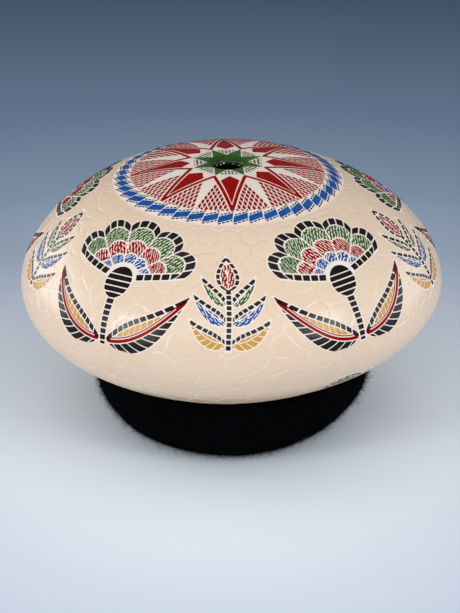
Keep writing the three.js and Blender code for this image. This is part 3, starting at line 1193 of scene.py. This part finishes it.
def fibres(name, material, count, seed, shortest, longest, stiff, thick, segments):
    """Loose fibres that stand out of the knitting on the ring's outer wall: thin three-sided
    spikes, bent where they have more than one segment. Those near the floor are shorter."""
    rng = np.random.default_rng(seed)
    outline = ring_outline(0)
    length = run_length(outline)
    top = float(underside_at(RING_RADIUS - 2)) + 1
    outer_wall = (outline[:, 0] > RING_FOOT_RADIUS - 2) & (outline[:, 1] < top)
    at = rng.uniform(length[outer_wall].min(), length[outer_wall].max(), count)
    turn = rng.uniform(0, TURN, count)
    radius = np.interp(at, length, outline[:, 0])
    height = np.interp(at, length, outline[:, 1])
    way = np.gradient(outline, length, axis=0)
    out_r = np.interp(at, length, way[:, 1])
    out_z = np.interp(at, length, -way[:, 0])
    around = np.column_stack([np.sin(turn), -np.cos(turn), np.zeros(count)])
    tangent = np.column_stack([np.cos(turn), np.sin(turn), np.zeros(count)])
    up = np.array([0.0, 0.0, 1.0])
    out = around * out_r[:, None] + up * out_z[:, None]
    along = around * -out_z[:, None] + up * out_r[:, None]
    ways = out * rng.uniform(stiff, 1.0, count)[:, None]
    ways += tangent * rng.normal(0, 0.55, count)[:, None] + along * rng.normal(-0.1, 0.55, count)[:, None]
    ways /= np.linalg.norm(ways, axis=1)[:, None]
    bends = tangent * rng.normal(0, 0.6, count)[:, None] + along * rng.normal(-0.15, 0.6, count)[:, None]
    bends += out * rng.normal(-0.1, 0.2, count)[:, None]
    usual = math.sqrt(shortest * longest)
    lengths = np.clip(rng.lognormal(math.log(usual), 0.45, count), shortest, longest)
    lengths *= 0.3 + 0.7 * eased(height / 10)
    roots = around * radius[:, None] + up * height[:, None] - out * 0.2
    widths = thick * rng.uniform(0.75, 1.25, count)
    side = np.cross(ways, bends)
    side /= np.linalg.norm(side, axis=1)[:, None] + 1e-9
    other = np.cross(ways, side)
    rings = []
    for step in range(segments):
        share = 0.6 * step
        middle = roots + ways * (lengths * share)[:, None] + bends * (lengths * share ** 2)[:, None]
        for corner in range(3):
            angle = TURN * corner / 3
            off = side * math.cos(angle) + other * math.sin(angle)
            rings.append(middle + off * (widths * (1 - 0.3 * share))[:, None])
    rings.append(roots + ways * lengths[:, None] + bends * lengths[:, None])
    points = to_the_pot(np.stack(rings, axis=1).reshape(-1, 3))
    points[:, 2] = np.maximum(points[:, 2], 0.02)
    tip = 3 * segments
    quads, spikes = [], [(2, 1, 0)]
    for corner in range(3):
        after = (corner + 1) % 3
        for ring in range(segments - 1):
            quads.append((ring * 3 + corner, ring * 3 + after, ring * 3 + after + 3, ring * 3 + corner + 3))
        spikes.append((tip - 3 + corner, tip - 3 + after, tip))
    first = (np.arange(count) * (tip + 1))[:, None, None]
    groups = [(np.array(spikes)[None] + first).reshape(-1, 3)]
    if quads:
        groups.append((np.array(quads)[None] + first).reshape(-1, 4))
    piece = make_mesh(name, points, groups, material)
    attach(piece, "ring_stand")
    return piece


def ring_padding(material):
    """The wadding inside the sleeve, with its slit and the channel for the hoop."""
    outline = evenly(ring_outline(SLEEVE + LAYER_GAP + 0.15), 3)
    channel = HOOP_ROD + LAYER_GAP + 0.3
    start = math.pi - math.asin((SEAM_HEIGHT + SEAM_GAP / 2 - HOOP_HEIGHT) / channel)
    end = math.pi - math.asin((SEAM_HEIGHT - SEAM_GAP / 2 - HOOP_HEIGHT) / channel) - TURN
    ring = arc((HOOP_RADIUS, HOOP_HEIGHT), channel, channel, start, end, 30)
    profile = np.vstack([outline, ring])
    rows_out = len(outline)

    def swell(i, turn):
        if i >= rows_out:
            return 0 * turn
        return -0.15 + 0.12 * np.sin(23 * turn + i) + 0.08 * np.sin(41 * turn + 2.3 * i)

    points = to_the_pot(turned_points(profile, WADDING_COLUMNS, swell))
    faces = band_faces(len(profile), WADDING_COLUMNS)
    closing = closing_faces(len(profile), WADDING_COLUMNS)
    piece = make_mesh("ring_wadding", points, [faces[:, ::-1], closing[:, ::-1]], material)
    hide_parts("ring_padding")
    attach(piece, "ring_stand")
    return piece


def cane_hoop(material):
    """The stiff hoop: cane strips wound along a round core."""
    columns, sides = 360, 32
    turn = TURN * np.arange(columns) / columns
    rows = []
    for side in range(sides):
        angle = -TURN * side / sides
        strip = np.abs(np.sin(2.5 * angle + 20 * turn))
        rod = HOOP_ROD - 0.45 + 0.35 * strip ** 0.35
        radius = HOOP_RADIUS + rod * math.cos(angle)
        rows.append(np.column_stack([
            radius * np.sin(turn), -radius * np.cos(turn), HOOP_HEIGHT + rod * math.sin(angle),
        ]))
    points = to_the_pot(np.vstack(rows))
    faces = band_faces(sides, columns)
    closing = closing_faces(sides, columns)
    piece = make_mesh("cane_hoop", points, [faces, closing], material)
    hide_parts("ring_hoop")
    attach(piece, "ring_stand")
    return piece


# The lacing's thread
STEPS_PER_STITCH = 24
THREAD_CLEAR = 0.75  # from the hole's wall to the thread's middle
PLY_TWISTS = 150
PLY_OFFSET = 0.2
PLY_RADIUS = 0.24


def lacing(material):
    """The two-ply thread that laces the sleeve's edges, on the side of the hole."""
    steps = STITCHES * STEPS_PER_STITCH
    turn = TURN * np.arange(steps) / steps
    height = SEAM_HEIGHT + STITCH_REACH * np.sin(turn * STITCHES)
    centre, across, up = hole_wall(0)
    angle = math.pi - np.arcsin((height - centre[1]) / up)
    radius = centre[0] + (across + THREAD_CLEAR) * np.cos(angle)
    middle = to_the_pot(np.column_stack([radius * np.sin(turn), -radius * np.cos(turn), height]))
    way = np.roll(middle, -1, axis=0) - np.roll(middle, 1, axis=0)
    way /= np.linalg.norm(way, axis=1)[:, None]
    inward = np.column_stack([-np.sin(turn), np.cos(turn), np.zeros(steps)])
    side = np.cross(way, inward)
    side /= np.linalg.norm(side, axis=1)[:, None]
    out = np.cross(side, way)
    points, faces = [], []
    sides = 6
    for ply in range(2):
        twist = TURN * PLY_TWISTS * np.arange(steps) / steps + math.pi * ply
        core = middle + PLY_OFFSET * (side * np.cos(twist)[:, None] + out * np.sin(twist)[:, None])
        rows = []
        for corner in range(sides):
            turn_off = TURN * corner / sides
            rows.append(core + PLY_RADIUS * (side * math.cos(turn_off) + out * math.sin(turn_off)))
        ring = np.stack(rows, axis=1).reshape(-1, 3)
        first = ply * steps * sides
        here = (np.arange(steps) * sides)[:, None] + np.arange(sides)
        ahead = (((np.arange(steps) + 1) % steps) * sides)[:, None] + np.arange(sides)
        quad = np.stack([here, ahead, np.roll(ahead, -1, axis=1), np.roll(here, -1, axis=1)], axis=-1)
        points.append(ring)
        faces.append(quad.reshape(-1, 4)[:, ::-1] + first)
    piece = make_mesh("seam_lacing", np.vstack(points), faces, material)
    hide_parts("ring_seam_thread")
    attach(piece, "ring_stand")
    return piece


# Shader groups

def srgb(red, green, blue):
    """A colour as the eye names it, from 0 to 255, turned into light."""
    def light(value):
        value = value / 255
        return value / 12.92 if value <= 0.04045 else ((value + 0.055) / 1.055) ** 2.4
    return (light(red), light(green), light(blue), 1)


class Nodes:
    """Short ways to add and join nodes in one tree."""

    def __init__(self, tree):
        self.tree = tree

    def add(self, kind, **settings):
        node = self.tree.nodes.new(kind)
        for name, value in settings.items():
            setattr(node, name, value)
        return node

    def link(self, source, target):
        self.tree.links.new(source, target)

    def feed(self, socket, value):
        if isinstance(value, bpy.types.NodeSocket):
            self.link(value, socket)
        else:
            socket.default_value = value

    def noise(self, vector, scale, detail=3.0, roughness=0.5, distortion=0.0):
        node = self.add("ShaderNodeTexNoise")
        self.feed(node.inputs["Vector"], vector)
        self.feed(node.inputs["Scale"], scale)
        node.inputs["Detail"].default_value = detail
        node.inputs["Roughness"].default_value = roughness
        node.inputs["Distortion"].default_value = distortion
        return node.outputs["Fac"]

    def spread(self, value, low, high, to_low=0.0, to_high=1.0):
        node = self.add("ShaderNodeMapRange", clamp=True)
        self.feed(node.inputs["Value"], value)
        node.inputs["From Min"].default_value = low
        node.inputs["From Max"].default_value = high
        self.feed(node.inputs["To Min"], to_low)
        self.feed(node.inputs["To Max"], to_high)
        return node.outputs["Result"]

    def maths(self, operation, a, b=0.0):
        node = self.add("ShaderNodeMath", operation=operation)
        self.feed(node.inputs[0], a)
        self.feed(node.inputs[1], b)
        return node.outputs[0]

    def mix(self, share, a, b):
        node = self.add("ShaderNodeMix", data_type="RGBA")
        self.feed(node.inputs["Factor"], share)
        colour_sockets = [s for s in node.inputs if s.type == "RGBA"]
        self.feed(colour_sockets[0], a)
        self.feed(colour_sockets[1], b)
        return next(s for s in node.outputs if s.type == "RGBA")

    def place(self):
        return self.add("ShaderNodeTexCoord").outputs["Object"]

    def from_axis(self, drift):
        """The distance from the pot's axis, moved sideways by a drift in millimetres."""
        flat = self.add("ShaderNodeVectorMath", operation="MULTIPLY")
        self.link(self.place(), flat.inputs[0])
        flat.inputs[1].default_value = (1, 1, 0)
        far = self.add("ShaderNodeVectorMath", operation="DISTANCE")
        self.link(flat.outputs[0], far.inputs[0])
        far.inputs[1].default_value = (drift * MM, 0, 0)
        return far.outputs["Value"]


def new_group(name, inputs, outputs):
    """An empty node group with named inputs and outputs."""
    tree = bpy.data.node_groups.new(name, "ShaderNodeTree")
    kinds = {"float": "NodeSocketFloat", "colour": "NodeSocketColor"}
    for label, kind, value in inputs:
        socket = tree.interface.new_socket(name=label, in_out="INPUT", socket_type=kinds[kind])
        socket.default_value = value
    for label, kind in outputs:
        tree.interface.new_socket(name=label, in_out="OUTPUT", socket_type=kinds[kind])
    nodes = Nodes(tree)
    return nodes, nodes.add("NodeGroupInput").outputs, nodes.add("NodeGroupOutput").inputs


def make_fired_mottle():
    """Slow drifts of colour and fine specks, as the kiln leaves in clay and slip."""
    nodes, given, put = new_group("Fired Mottle", [
        ("Colour", "colour", (0.8, 0.7, 0.6, 1)),
        ("Drift Colour", "colour", (0.8, 0.6, 0.5, 1)),
        ("Drift", "float", 0.3),
        ("Drift Scale", "float", 22.0),
        ("Speck Colour", "colour", (0.3, 0.2, 0.1, 1)),
        ("Specks", "float", 0.2),
        ("Speck Scale", "float", 700.0),
    ], [("Colour", "colour"), ("Drift Mask", "float"), ("Height", "float")])
    place = nodes.place()
    slow = nodes.noise(place, given["Drift Scale"], 4.0, 0.55, 0.4)
    drift_mask = nodes.spread(slow, 0.35, 0.68)
    drift = nodes.maths("MULTIPLY", drift_mask, given["Drift"])
    drifted = nodes.mix(drift, given["Colour"], given["Drift Colour"])
    fine = nodes.noise(place, given["Speck Scale"], 2.0, 0.6)
    speck_mask = nodes.spread(fine, 0.62, 0.74)
    specks = nodes.maths("MULTIPLY", speck_mask, given["Specks"])
    specked = nodes.mix(specks, drifted, given["Speck Colour"])
    nodes.link(specked, put["Colour"])
    nodes.link(drift_mask, put["Drift Mask"])
    nodes.link(fine, put["Height"])
    return nodes.tree


def make_brushed_slip():
    """Streaks of thick and thin slip along the brush, with fine tool marks."""
    nodes, given, put = new_group("Brushed Slip", [
        ("Colour", "colour", (0.5, 0.1, 0.1, 1)),
        ("Thin Colour", "colour", (0.6, 0.2, 0.2, 1)),
        ("Thinness", "float", 0.4),
        ("Streak Scale", "float", 180.0),
    ], [("Colour", "colour"), ("Thin Mask", "float"), ("Height", "float")])
    place = nodes.place()
    stretch = nodes.add("ShaderNodeVectorMath", operation="MULTIPLY")
    nodes.link(place, stretch.inputs[0])
    stretch.inputs[1].default_value = (1.0, 1.0, 3.2)
    streak = nodes.noise(stretch.outputs[0], given["Streak Scale"], 4.0, 0.6, 0.6)
    cloud = nodes.noise(place, 60.0, 2.0, 0.5)
    mixed = nodes.maths("ADD", nodes.maths("MULTIPLY", streak, 0.6), nodes.maths("MULTIPLY", cloud, 0.4))
    thin_mask = nodes.spread(mixed, 0.42, 0.62)
    thin = nodes.maths("MULTIPLY", thin_mask, given["Thinness"])
    colour = nodes.mix(thin, given["Colour"], given["Thin Colour"])
    nodes.link(colour, put["Colour"])
    nodes.link(thin_mask, put["Thin Mask"])
    nodes.link(streak, put["Height"])
    return nodes.tree


def make_spun_fibre():
    """Wool fibres: fine bright and dark strands across the yarn."""
    nodes, given, put = new_group("Spun Fibre", [
        ("Colour", "colour", (0.01, 0.01, 0.01, 1)),
        ("Lit Colour", "colour", (0.04, 0.04, 0.04, 1)),
        ("Strand Scale", "float", 900.0),
        ("Contrast", "float", 0.6),
    ], [("Colour", "colour"), ("Strand Mask", "float"), ("Height", "float")])
    place = nodes.place()
    squeeze = nodes.add("ShaderNodeVectorMath", operation="MULTIPLY")
    nodes.link(place, squeeze.inputs[0])
    squeeze.inputs[1].default_value = (1.0, 1.0, 0.35)
    strand = nodes.noise(squeeze.outputs[0], given["Strand Scale"], 3.0, 0.65, 1.5)
    mask = nodes.spread(strand, 0.45, 0.7)
    lit = nodes.maths("MULTIPLY", mask, given["Contrast"])
    colour = nodes.mix(lit, given["Colour"], given["Lit Colour"])
    nodes.link(colour, put["Colour"])
    nodes.link(mask, put["Strand Mask"])
    nodes.link(strand, put["Height"])
    return nodes.tree


fired_mottle = make_fired_mottle()
brushed_slip = make_brushed_slip()
spun_fibre = make_spun_fibre()


# Materials

def new_material(name, **constants):
    """A material with its Principled shader and the values that are the same all over."""
    material = bpy.data.materials.new(name)
    material.use_nodes = True
    nodes = Nodes(material.node_tree)
    shader = material.node_tree.nodes["Principled BSDF"]
    for label, value in constants.items():
        shader.inputs[label.replace("_", " ").title()].default_value = value
    return material, nodes, shader


def placed(nodes, tree, **values):
    """A shader group in a material, with its own values or what feeds them."""
    node = nodes.add("ShaderNodeGroup", node_tree=tree)
    for label, value in values.items():
        nodes.feed(node.inputs[label.replace("_", " ").title()], value)
    return node


def dress(nodes, shader, group, mask, at_none, at_full):
    """Feeds a group's colour to the shader, and a roughness that runs between two values with
    one of the group's masks."""
    nodes.link(group.outputs["Colour"], shader.inputs["Base Color"])
    nodes.link(nodes.spread(group.outputs[mask], 0, 1, at_none, at_full), shader.inputs["Roughness"])


def bump(nodes, shader, height, depth_mm, strength):
    """Fine relief that follows a height."""
    node = nodes.add("ShaderNodeBump")
    node.inputs["Strength"].default_value = strength
    node.inputs["Distance"].default_value = depth_mm * MM
    nodes.link(height, node.inputs["Height"])
    nodes.link(node.outputs["Normal"], shader.inputs["Normal"])


CREAM = srgb(234, 211, 187)
SCRAPED = srgb(240, 229, 219)


def cream_clay():
    """The burnished wall, with a painted warm light low down, and paler scraped grooves that painted shade
    turns grey near the top.
    """
    material, nodes, shader = new_material("burnished_cream_slip")
    mottle = placed(
        nodes, fired_mottle, colour=CREAM, drift_colour=srgb(229, 199, 170), drift=0.5,
        drift_scale=14.0, speck_colour=srgb(190, 160, 132), specks=0.22, speck_scale=620.0,
    )
    split = nodes.add("ShaderNodeSeparateXYZ")
    nodes.link(nodes.place(), split.inputs[0])
    # Painted light: the wall warms towards the bottom, as if a warmer light reached it there.
    low = nodes.spread(split.outputs["Z"], 0.036, 0.09, 1, 0)
    warm_lit_low = nodes.mix(low, mottle.outputs["Colour"], srgb(241, 207, 174))
    groove = nodes.add("ShaderNodeAttribute", attribute_name="groove").outputs["Fac"]
    broken = nodes.noise(nodes.place(), 160.0, 3.0, 0.6)
    pale = nodes.maths("MULTIPLY", groove, nodes.spread(broken, 0.35, 0.6, 0.18, 0.78))
    # Painted shade: near the top the grooves turn grey instead of pale, as they lack the sheen there.
    high = nodes.spread(split.outputs["Z"], 0.098, 0.118)
    colour = nodes.mix(pale, warm_lit_low, nodes.mix(high, SCRAPED, srgb(208, 193, 188)))
    nodes.link(colour, shader.inputs["Base Color"])
    polish = nodes.spread(mottle.outputs["Drift Mask"], 0.0, 1.0, 0.235, 0.3)
    rough = nodes.maths("ADD", polish, nodes.maths("MULTIPLY", groove, 0.3))
    nodes.link(rough, shader.inputs["Roughness"])
    bump(nodes, shader, mottle.outputs["Height"], 0.03, 0.35)
    return material


def inner_clay():
    material, nodes, shader = new_material("raw_clay_inside")
    mottle = placed(
        nodes, fired_mottle, colour=srgb(196, 160, 126), drift_colour=srgb(150, 116, 88), drift=0.8,
        drift_scale=18.0, speck_colour=srgb(110, 84, 62), specks=0.5, speck_scale=500.0,
    )
    dress(nodes, shader, mottle, "Drift Mask", 0.82, 0.95)
    bump(nodes, shader, mottle.outputs["Height"], 0.12, 0.7)
    return material


def scraped_clay():
    material, nodes, shader = new_material("scraped_pale_clay")
    mottle = placed(
        nodes, fired_mottle, colour=SCRAPED, drift_colour=srgb(233, 218, 205), drift=0.5,
        drift_scale=60.0, speck_colour=srgb(206, 186, 168), specks=0.4, speck_scale=900.0,
    )
    dress(nodes, shader, mottle, "Drift Mask", 0.62, 0.8)
    bump(nodes, shader, mottle.outputs["Height"], 0.05, 0.6)
    return material


MOUTH_SHADE_RADIUS = 11.5  # painted shade darkens the slip nearer the pot's axis than this


def slip(name, colour, thin_colour, gloss):
    """Slip paint, with painted shade that darkens it where the wall turns down into the mouth."""
    material, nodes, shader = new_material(name)
    shader.inputs["Specular IOR Level"].default_value = gloss
    brushed = placed(
        nodes, brushed_slip, colour=colour, thin_colour=thin_colour, thinness=0.45, streak_scale=190.0,
    )
    mottle = placed(
        nodes, fired_mottle, colour=brushed.outputs["Colour"], drift_colour=thin_colour, drift=0.18,
        drift_scale=45.0, speck_colour=SCRAPED, specks=0.05, speck_scale=1100.0,
    )
    # Painted shade: the slip turns towards black near the mouth, where the funnel lies in shade.
    mouth_shade = nodes.spread(nodes.from_axis(MOUTH_DRIFT), MOUTH_RADIUS * MM, MOUTH_SHADE_RADIUS * MM, 0.3, 1.0)
    colour = nodes.mix(mouth_shade, (0, 0, 0, 1), mottle.outputs["Colour"])
    nodes.link(colour, shader.inputs["Base Color"])
    nodes.link(nodes.spread(brushed.outputs["Thin Mask"], 0, 1, 0.24, 0.36), shader.inputs["Roughness"])
    bump(nodes, shader, brushed.outputs["Height"], 0.05, 0.5)
    return material


def black_knit():
    material, nodes, shader = new_material("black_wool_knit")
    fibre = placed(
        nodes, spun_fibre, colour=srgb(3, 3, 5), lit_colour=srgb(13, 14, 19),
        strand_scale=900.0, contrast=0.7,
    )
    shader.inputs["Specular IOR Level"].default_value = 0.02
    row = nodes.add("ShaderNodeAttribute", attribute_name="stitch_row").outputs["Fac"]
    lift = nodes.maths("SINE", nodes.maths("MULTIPLY", row, TURN / STITCH_ROW))
    stitch = nodes.spread(lift, -1.0, 1.0)
    stitch_height = nodes.maths("MULTIPLY", stitch, 0.6)
    height = nodes.maths("ADD", stitch_height, nodes.maths("MULTIPLY", fibre.outputs["Height"], 0.7))
    rib = nodes.add("ShaderNodeAttribute", attribute_name="rib").outputs["Fac"]
    # Painted highlight: the crests of the ribs and stitches are lighter, as light catches them.
    ridge_highlight = nodes.maths("MULTIPLY", nodes.spread(rib, 0.5, 1.0), nodes.spread(stitch, 0.2, 0.9, 0.2, 0.8))
    colour = nodes.mix(ridge_highlight, fibre.outputs["Colour"], srgb(12, 13, 18))
    nodes.link(colour, shader.inputs["Base Color"])
    nodes.link(nodes.spread(fibre.outputs["Strand Mask"], 0, 1, 0.95, 0.8), shader.inputs["Roughness"])
    bump(nodes, shader, height, 0.25, 0.9)
    return material


def loose_wool():
    material, nodes, shader = new_material("loose_black_wool")
    fibre = placed(
        nodes, spun_fibre, colour=srgb(3, 3, 5), lit_colour=srgb(11, 11, 15),
        strand_scale=400.0, contrast=0.6,
    )
    shader.inputs["Specular IOR Level"].default_value = 0.03
    dress(nodes, shader, fibre, "Strand Mask", 0.9, 0.75)
    return material


def black_thread():
    material, nodes, shader = new_material("black_cotton_thread")
    fibre = placed(
        nodes, spun_fibre, colour=srgb(22, 21, 24), lit_colour=srgb(60, 58, 64),
        strand_scale=1600.0, contrast=0.7,
    )
    dress(nodes, shader, fibre, "Strand Mask", 0.7, 0.5)
    bump(nodes, shader, fibre.outputs["Height"], 0.05, 0.7)
    return material


def wadding():
    material, nodes, shader = new_material("cotton_wadding", sheen_weight=0.3)
    fibre = placed(
        nodes, spun_fibre, colour=srgb(224, 219, 208), lit_colour=srgb(245, 242, 234),
        strand_scale=350.0, contrast=0.8,
    )
    dress(nodes, shader, fibre, "Strand Mask", 1.0, 0.9)
    bump(nodes, shader, fibre.outputs["Height"], 0.5, 0.8)
    return material


def cane():
    material, nodes, shader = new_material("split_cane")
    brushed = placed(
        nodes, brushed_slip, colour=srgb(206, 168, 110), thin_colour=srgb(160, 118, 70), thinness=0.6,
        streak_scale=260.0,
    )
    dress(nodes, shader, brushed, "Thin Mask", 0.45, 0.65)
    bump(nodes, shader, brushed.outputs["Height"], 0.1, 0.6)
    return material


def pale_floor():
    """Paper that is palest under the pot, a painted pool of light against the pot's shadow there, and turns
    bluer and darker away from it.
    """
    material, nodes, shader = new_material("pale_paper_floor", roughness=0.9)
    far = nodes.add("ShaderNodeVectorMath", operation="DISTANCE")
    nodes.link(nodes.place(), far.inputs[0])
    far.inputs[1].default_value = (0.0, -0.03, 0.0)
    ramp = nodes.add("ShaderNodeValToRGB")
    nodes.link(far.outputs["Value"], ramp.inputs["Fac"])
    # The palest stops near the pot are a painted pool of light that lifts the shadow the pot casts on the
    # floor.
    stops = [
        (0.12, srgb(228, 239, 250)), (0.20, srgb(210, 221, 238)), (0.28, srgb(174, 190, 213)),
        (0.36, srgb(146, 166, 192)), (0.50, srgb(117, 139, 168)), (0.76, srgb(83, 105, 132)),
    ]
    while len(ramp.color_ramp.elements) < len(stops):
        ramp.color_ramp.elements.new(0.5)
    for element, (at, colour) in zip(ramp.color_ramp.elements, stops):
        element.position = at
        element.color = colour
    nodes.link(ramp.outputs["Color"], shader.inputs["Base Color"])
    shader.inputs["Specular IOR Level"].default_value = 0.2
    return material


# Putting it together

# Each slip's full colour, its colour where it is thin, and its gloss
SLIP_COLOURS = {
    "green": (srgb(40, 90, 20), srgb(68, 112, 36), 0.25),
    "dark": (srgb(16, 32, 14), srgb(36, 52, 30), 0.2),
    "red": (srgb(146, 4, 0), srgb(158, 12, 4), 0.06),
    "blue": (srgb(14, 72, 150), srgb(40, 100, 174), 0.08),
    "navy": (srgb(12, 20, 54), srgb(30, 46, 92), 0.1),
    "ochre": (srgb(200, 142, 48), srgb(214, 166, 82), 0.3),
    "black": (srgb(16, 9, 7), srgb(30, 22, 19), 0.3),
}
# The spacing of the drawings' points
FINE = 0.33
COARSE = 0.62


def drawn(fields, *seed):
    """A flat drawing as fine patches of slip and a coarser patch of ground, with the ground's
    field and its two scales."""
    across, up, slips, _ = fields(FINE, *seed)
    patches = {colour: Patch(field, across, up) for colour, field in slips.items()}
    across, up, _, ground = fields(COARSE, *seed)
    return patches, Patch(ground, across, up), across, up, ground


def paint_the_pot():
    """The scraped grounds and the coloured slips, as one piece for each kind of drawing and
    colour. Returns what the cobbles have to keep clear of."""
    clear = ClearOfMotifs()
    slips = {colour: slip(colour + "_slip", *values) for colour, values in SLIP_COLOURS.items()}
    scraped = scraped_clay()
    plans = {"medallion": ([lay_medallion], *drawn(medallion_fields))}
    motifs = (("bloom", bloom_fields, 3), ("sprig", sprig_fields, 17), ("leaf", leaf_fields, 7))
    for kind, fields, seed in motifs:
        plans[kind] = ([], *drawn(fields, seed))
    for index, place in enumerate(motif_places()):
        lays, _, _, across, up, ground = plans[place[0]]
        lays.append(lay_motif(*place[1:], index))
        clear.add(place, across, up, ground)
    for kind, (lays, patches, ground_patch, _, _, _) in plans.items():
        slip_sheet(kind + "_ground", [(ground_patch, lay) for lay in lays], SCRAPED_LIFT, scraped)
        for colour, patch in patches.items():
            slip_sheet(kind + "_" + colour, [(patch, lay) for lay in lays], SLIP_LIFT, slips[colour])
    return clear


# Name, azimuth and elevation in degrees, distance, width and height in metres, watts
SOFTBOXES = (
    ("left_softbox", -54, 18, 1.5, 0.46, 0.6, 8.5),
    ("right_softbox", 51, 23, 1.5, 0.46, 0.6, 7.8),
    ("front_softbox", 0, 34, 1.6, 1.2, 0.8, 7.1),
    ("far_left_softbox", -114, 7, 1.6, 1.5, 0.9, 12.6),
    ("far_right_softbox", 101, 7, 1.6, 1.5, 0.9, 7.8),
    ("top_softbox", 0, 78, 1.6, 1.4, 1.4, 3.7),
)
FLOOR_HALF_SIZE = 4.0


def softbox(name, azimuth, elevation, distance, width, height, power):
    """A soft rectangular light that faces the pot. Azimuth 0 is over the camera."""
    light = bpy.data.lights.new(name, "AREA")
    light.shape = "RECTANGLE"
    light.size = width
    light.size_y = height
    light.energy = power
    lamp = bpy.data.objects.new(name, light)
    a, e = math.radians(azimuth), math.radians(elevation)
    target = Vector((0, 0, POT_WIDEST * MM))
    away = Vector((math.sin(a) * math.cos(e), -math.cos(a) * math.cos(e), math.sin(e)))
    lamp.location = target + away * distance
    lamp.rotation_euler = away.to_track_quat("Z", "Y").to_euler()
    bpy.context.scene.collection.objects.link(lamp)


def studio():
    """The camera, the lights, the air round them and the floor."""
    scene = bpy.context.scene
    camera = bpy.data.cameras.new("camera")
    camera.lens = CAMERA_LENS
    camera.sensor_width = 36
    camera.clip_start = 0.05
    camera.clip_end = 20
    viewer = bpy.data.objects.new("camera", camera)
    viewer.location = CAMERA_PLACE
    viewer.rotation_euler = (math.radians(90 - CAMERA_DOWN), 0, 0)
    scene.collection.objects.link(viewer)
    scene.camera = viewer
    scene.view_settings.view_transform = "Standard"

    world = bpy.data.worlds.new("studio_air")
    world.use_nodes = True
    world.node_tree.nodes["Background"].inputs["Color"].default_value = srgb(246, 248, 250)
    world.node_tree.nodes["Background"].inputs["Strength"].default_value = 0.2
    scene.world = world
    for lamp in SOFTBOXES:
        softbox(*lamp)

    half = FLOOR_HALF_SIZE
    corners = [(-half, -half, 0), (half, -half, 0), (half, half, 0), (-half, half, 0)]
    floor = make_mesh("floor", np.array(corners) / MM, [np.array([[0, 1, 2, 3]])], pale_floor())


studio()
clear_of_motifs = paint_the_pot()
clay_body(groove_lines(np.random.default_rng(23)), clear_of_motifs, cream_clay(), inner_clay())
knit_sleeve(black_knit())
wool = loose_wool()
fibres("wool_nap", wool, count=49000, seed=9, shortest=0.8, longest=3.0, stiff=0.3, thick=0.05, segments=1)
fibres("wool_halo", wool, count=19500, seed=5, shortest=1.1, longest=4.2, stiff=0.5, thick=0.055, segments=2)
fibres("wool_fly", wool, count=12000, seed=31, shortest=1.8, longest=4.2, stiff=0.6, thick=0.046, segments=3)
ring_padding(wadding())
cane_hoop(cane())
lacing(black_thread())
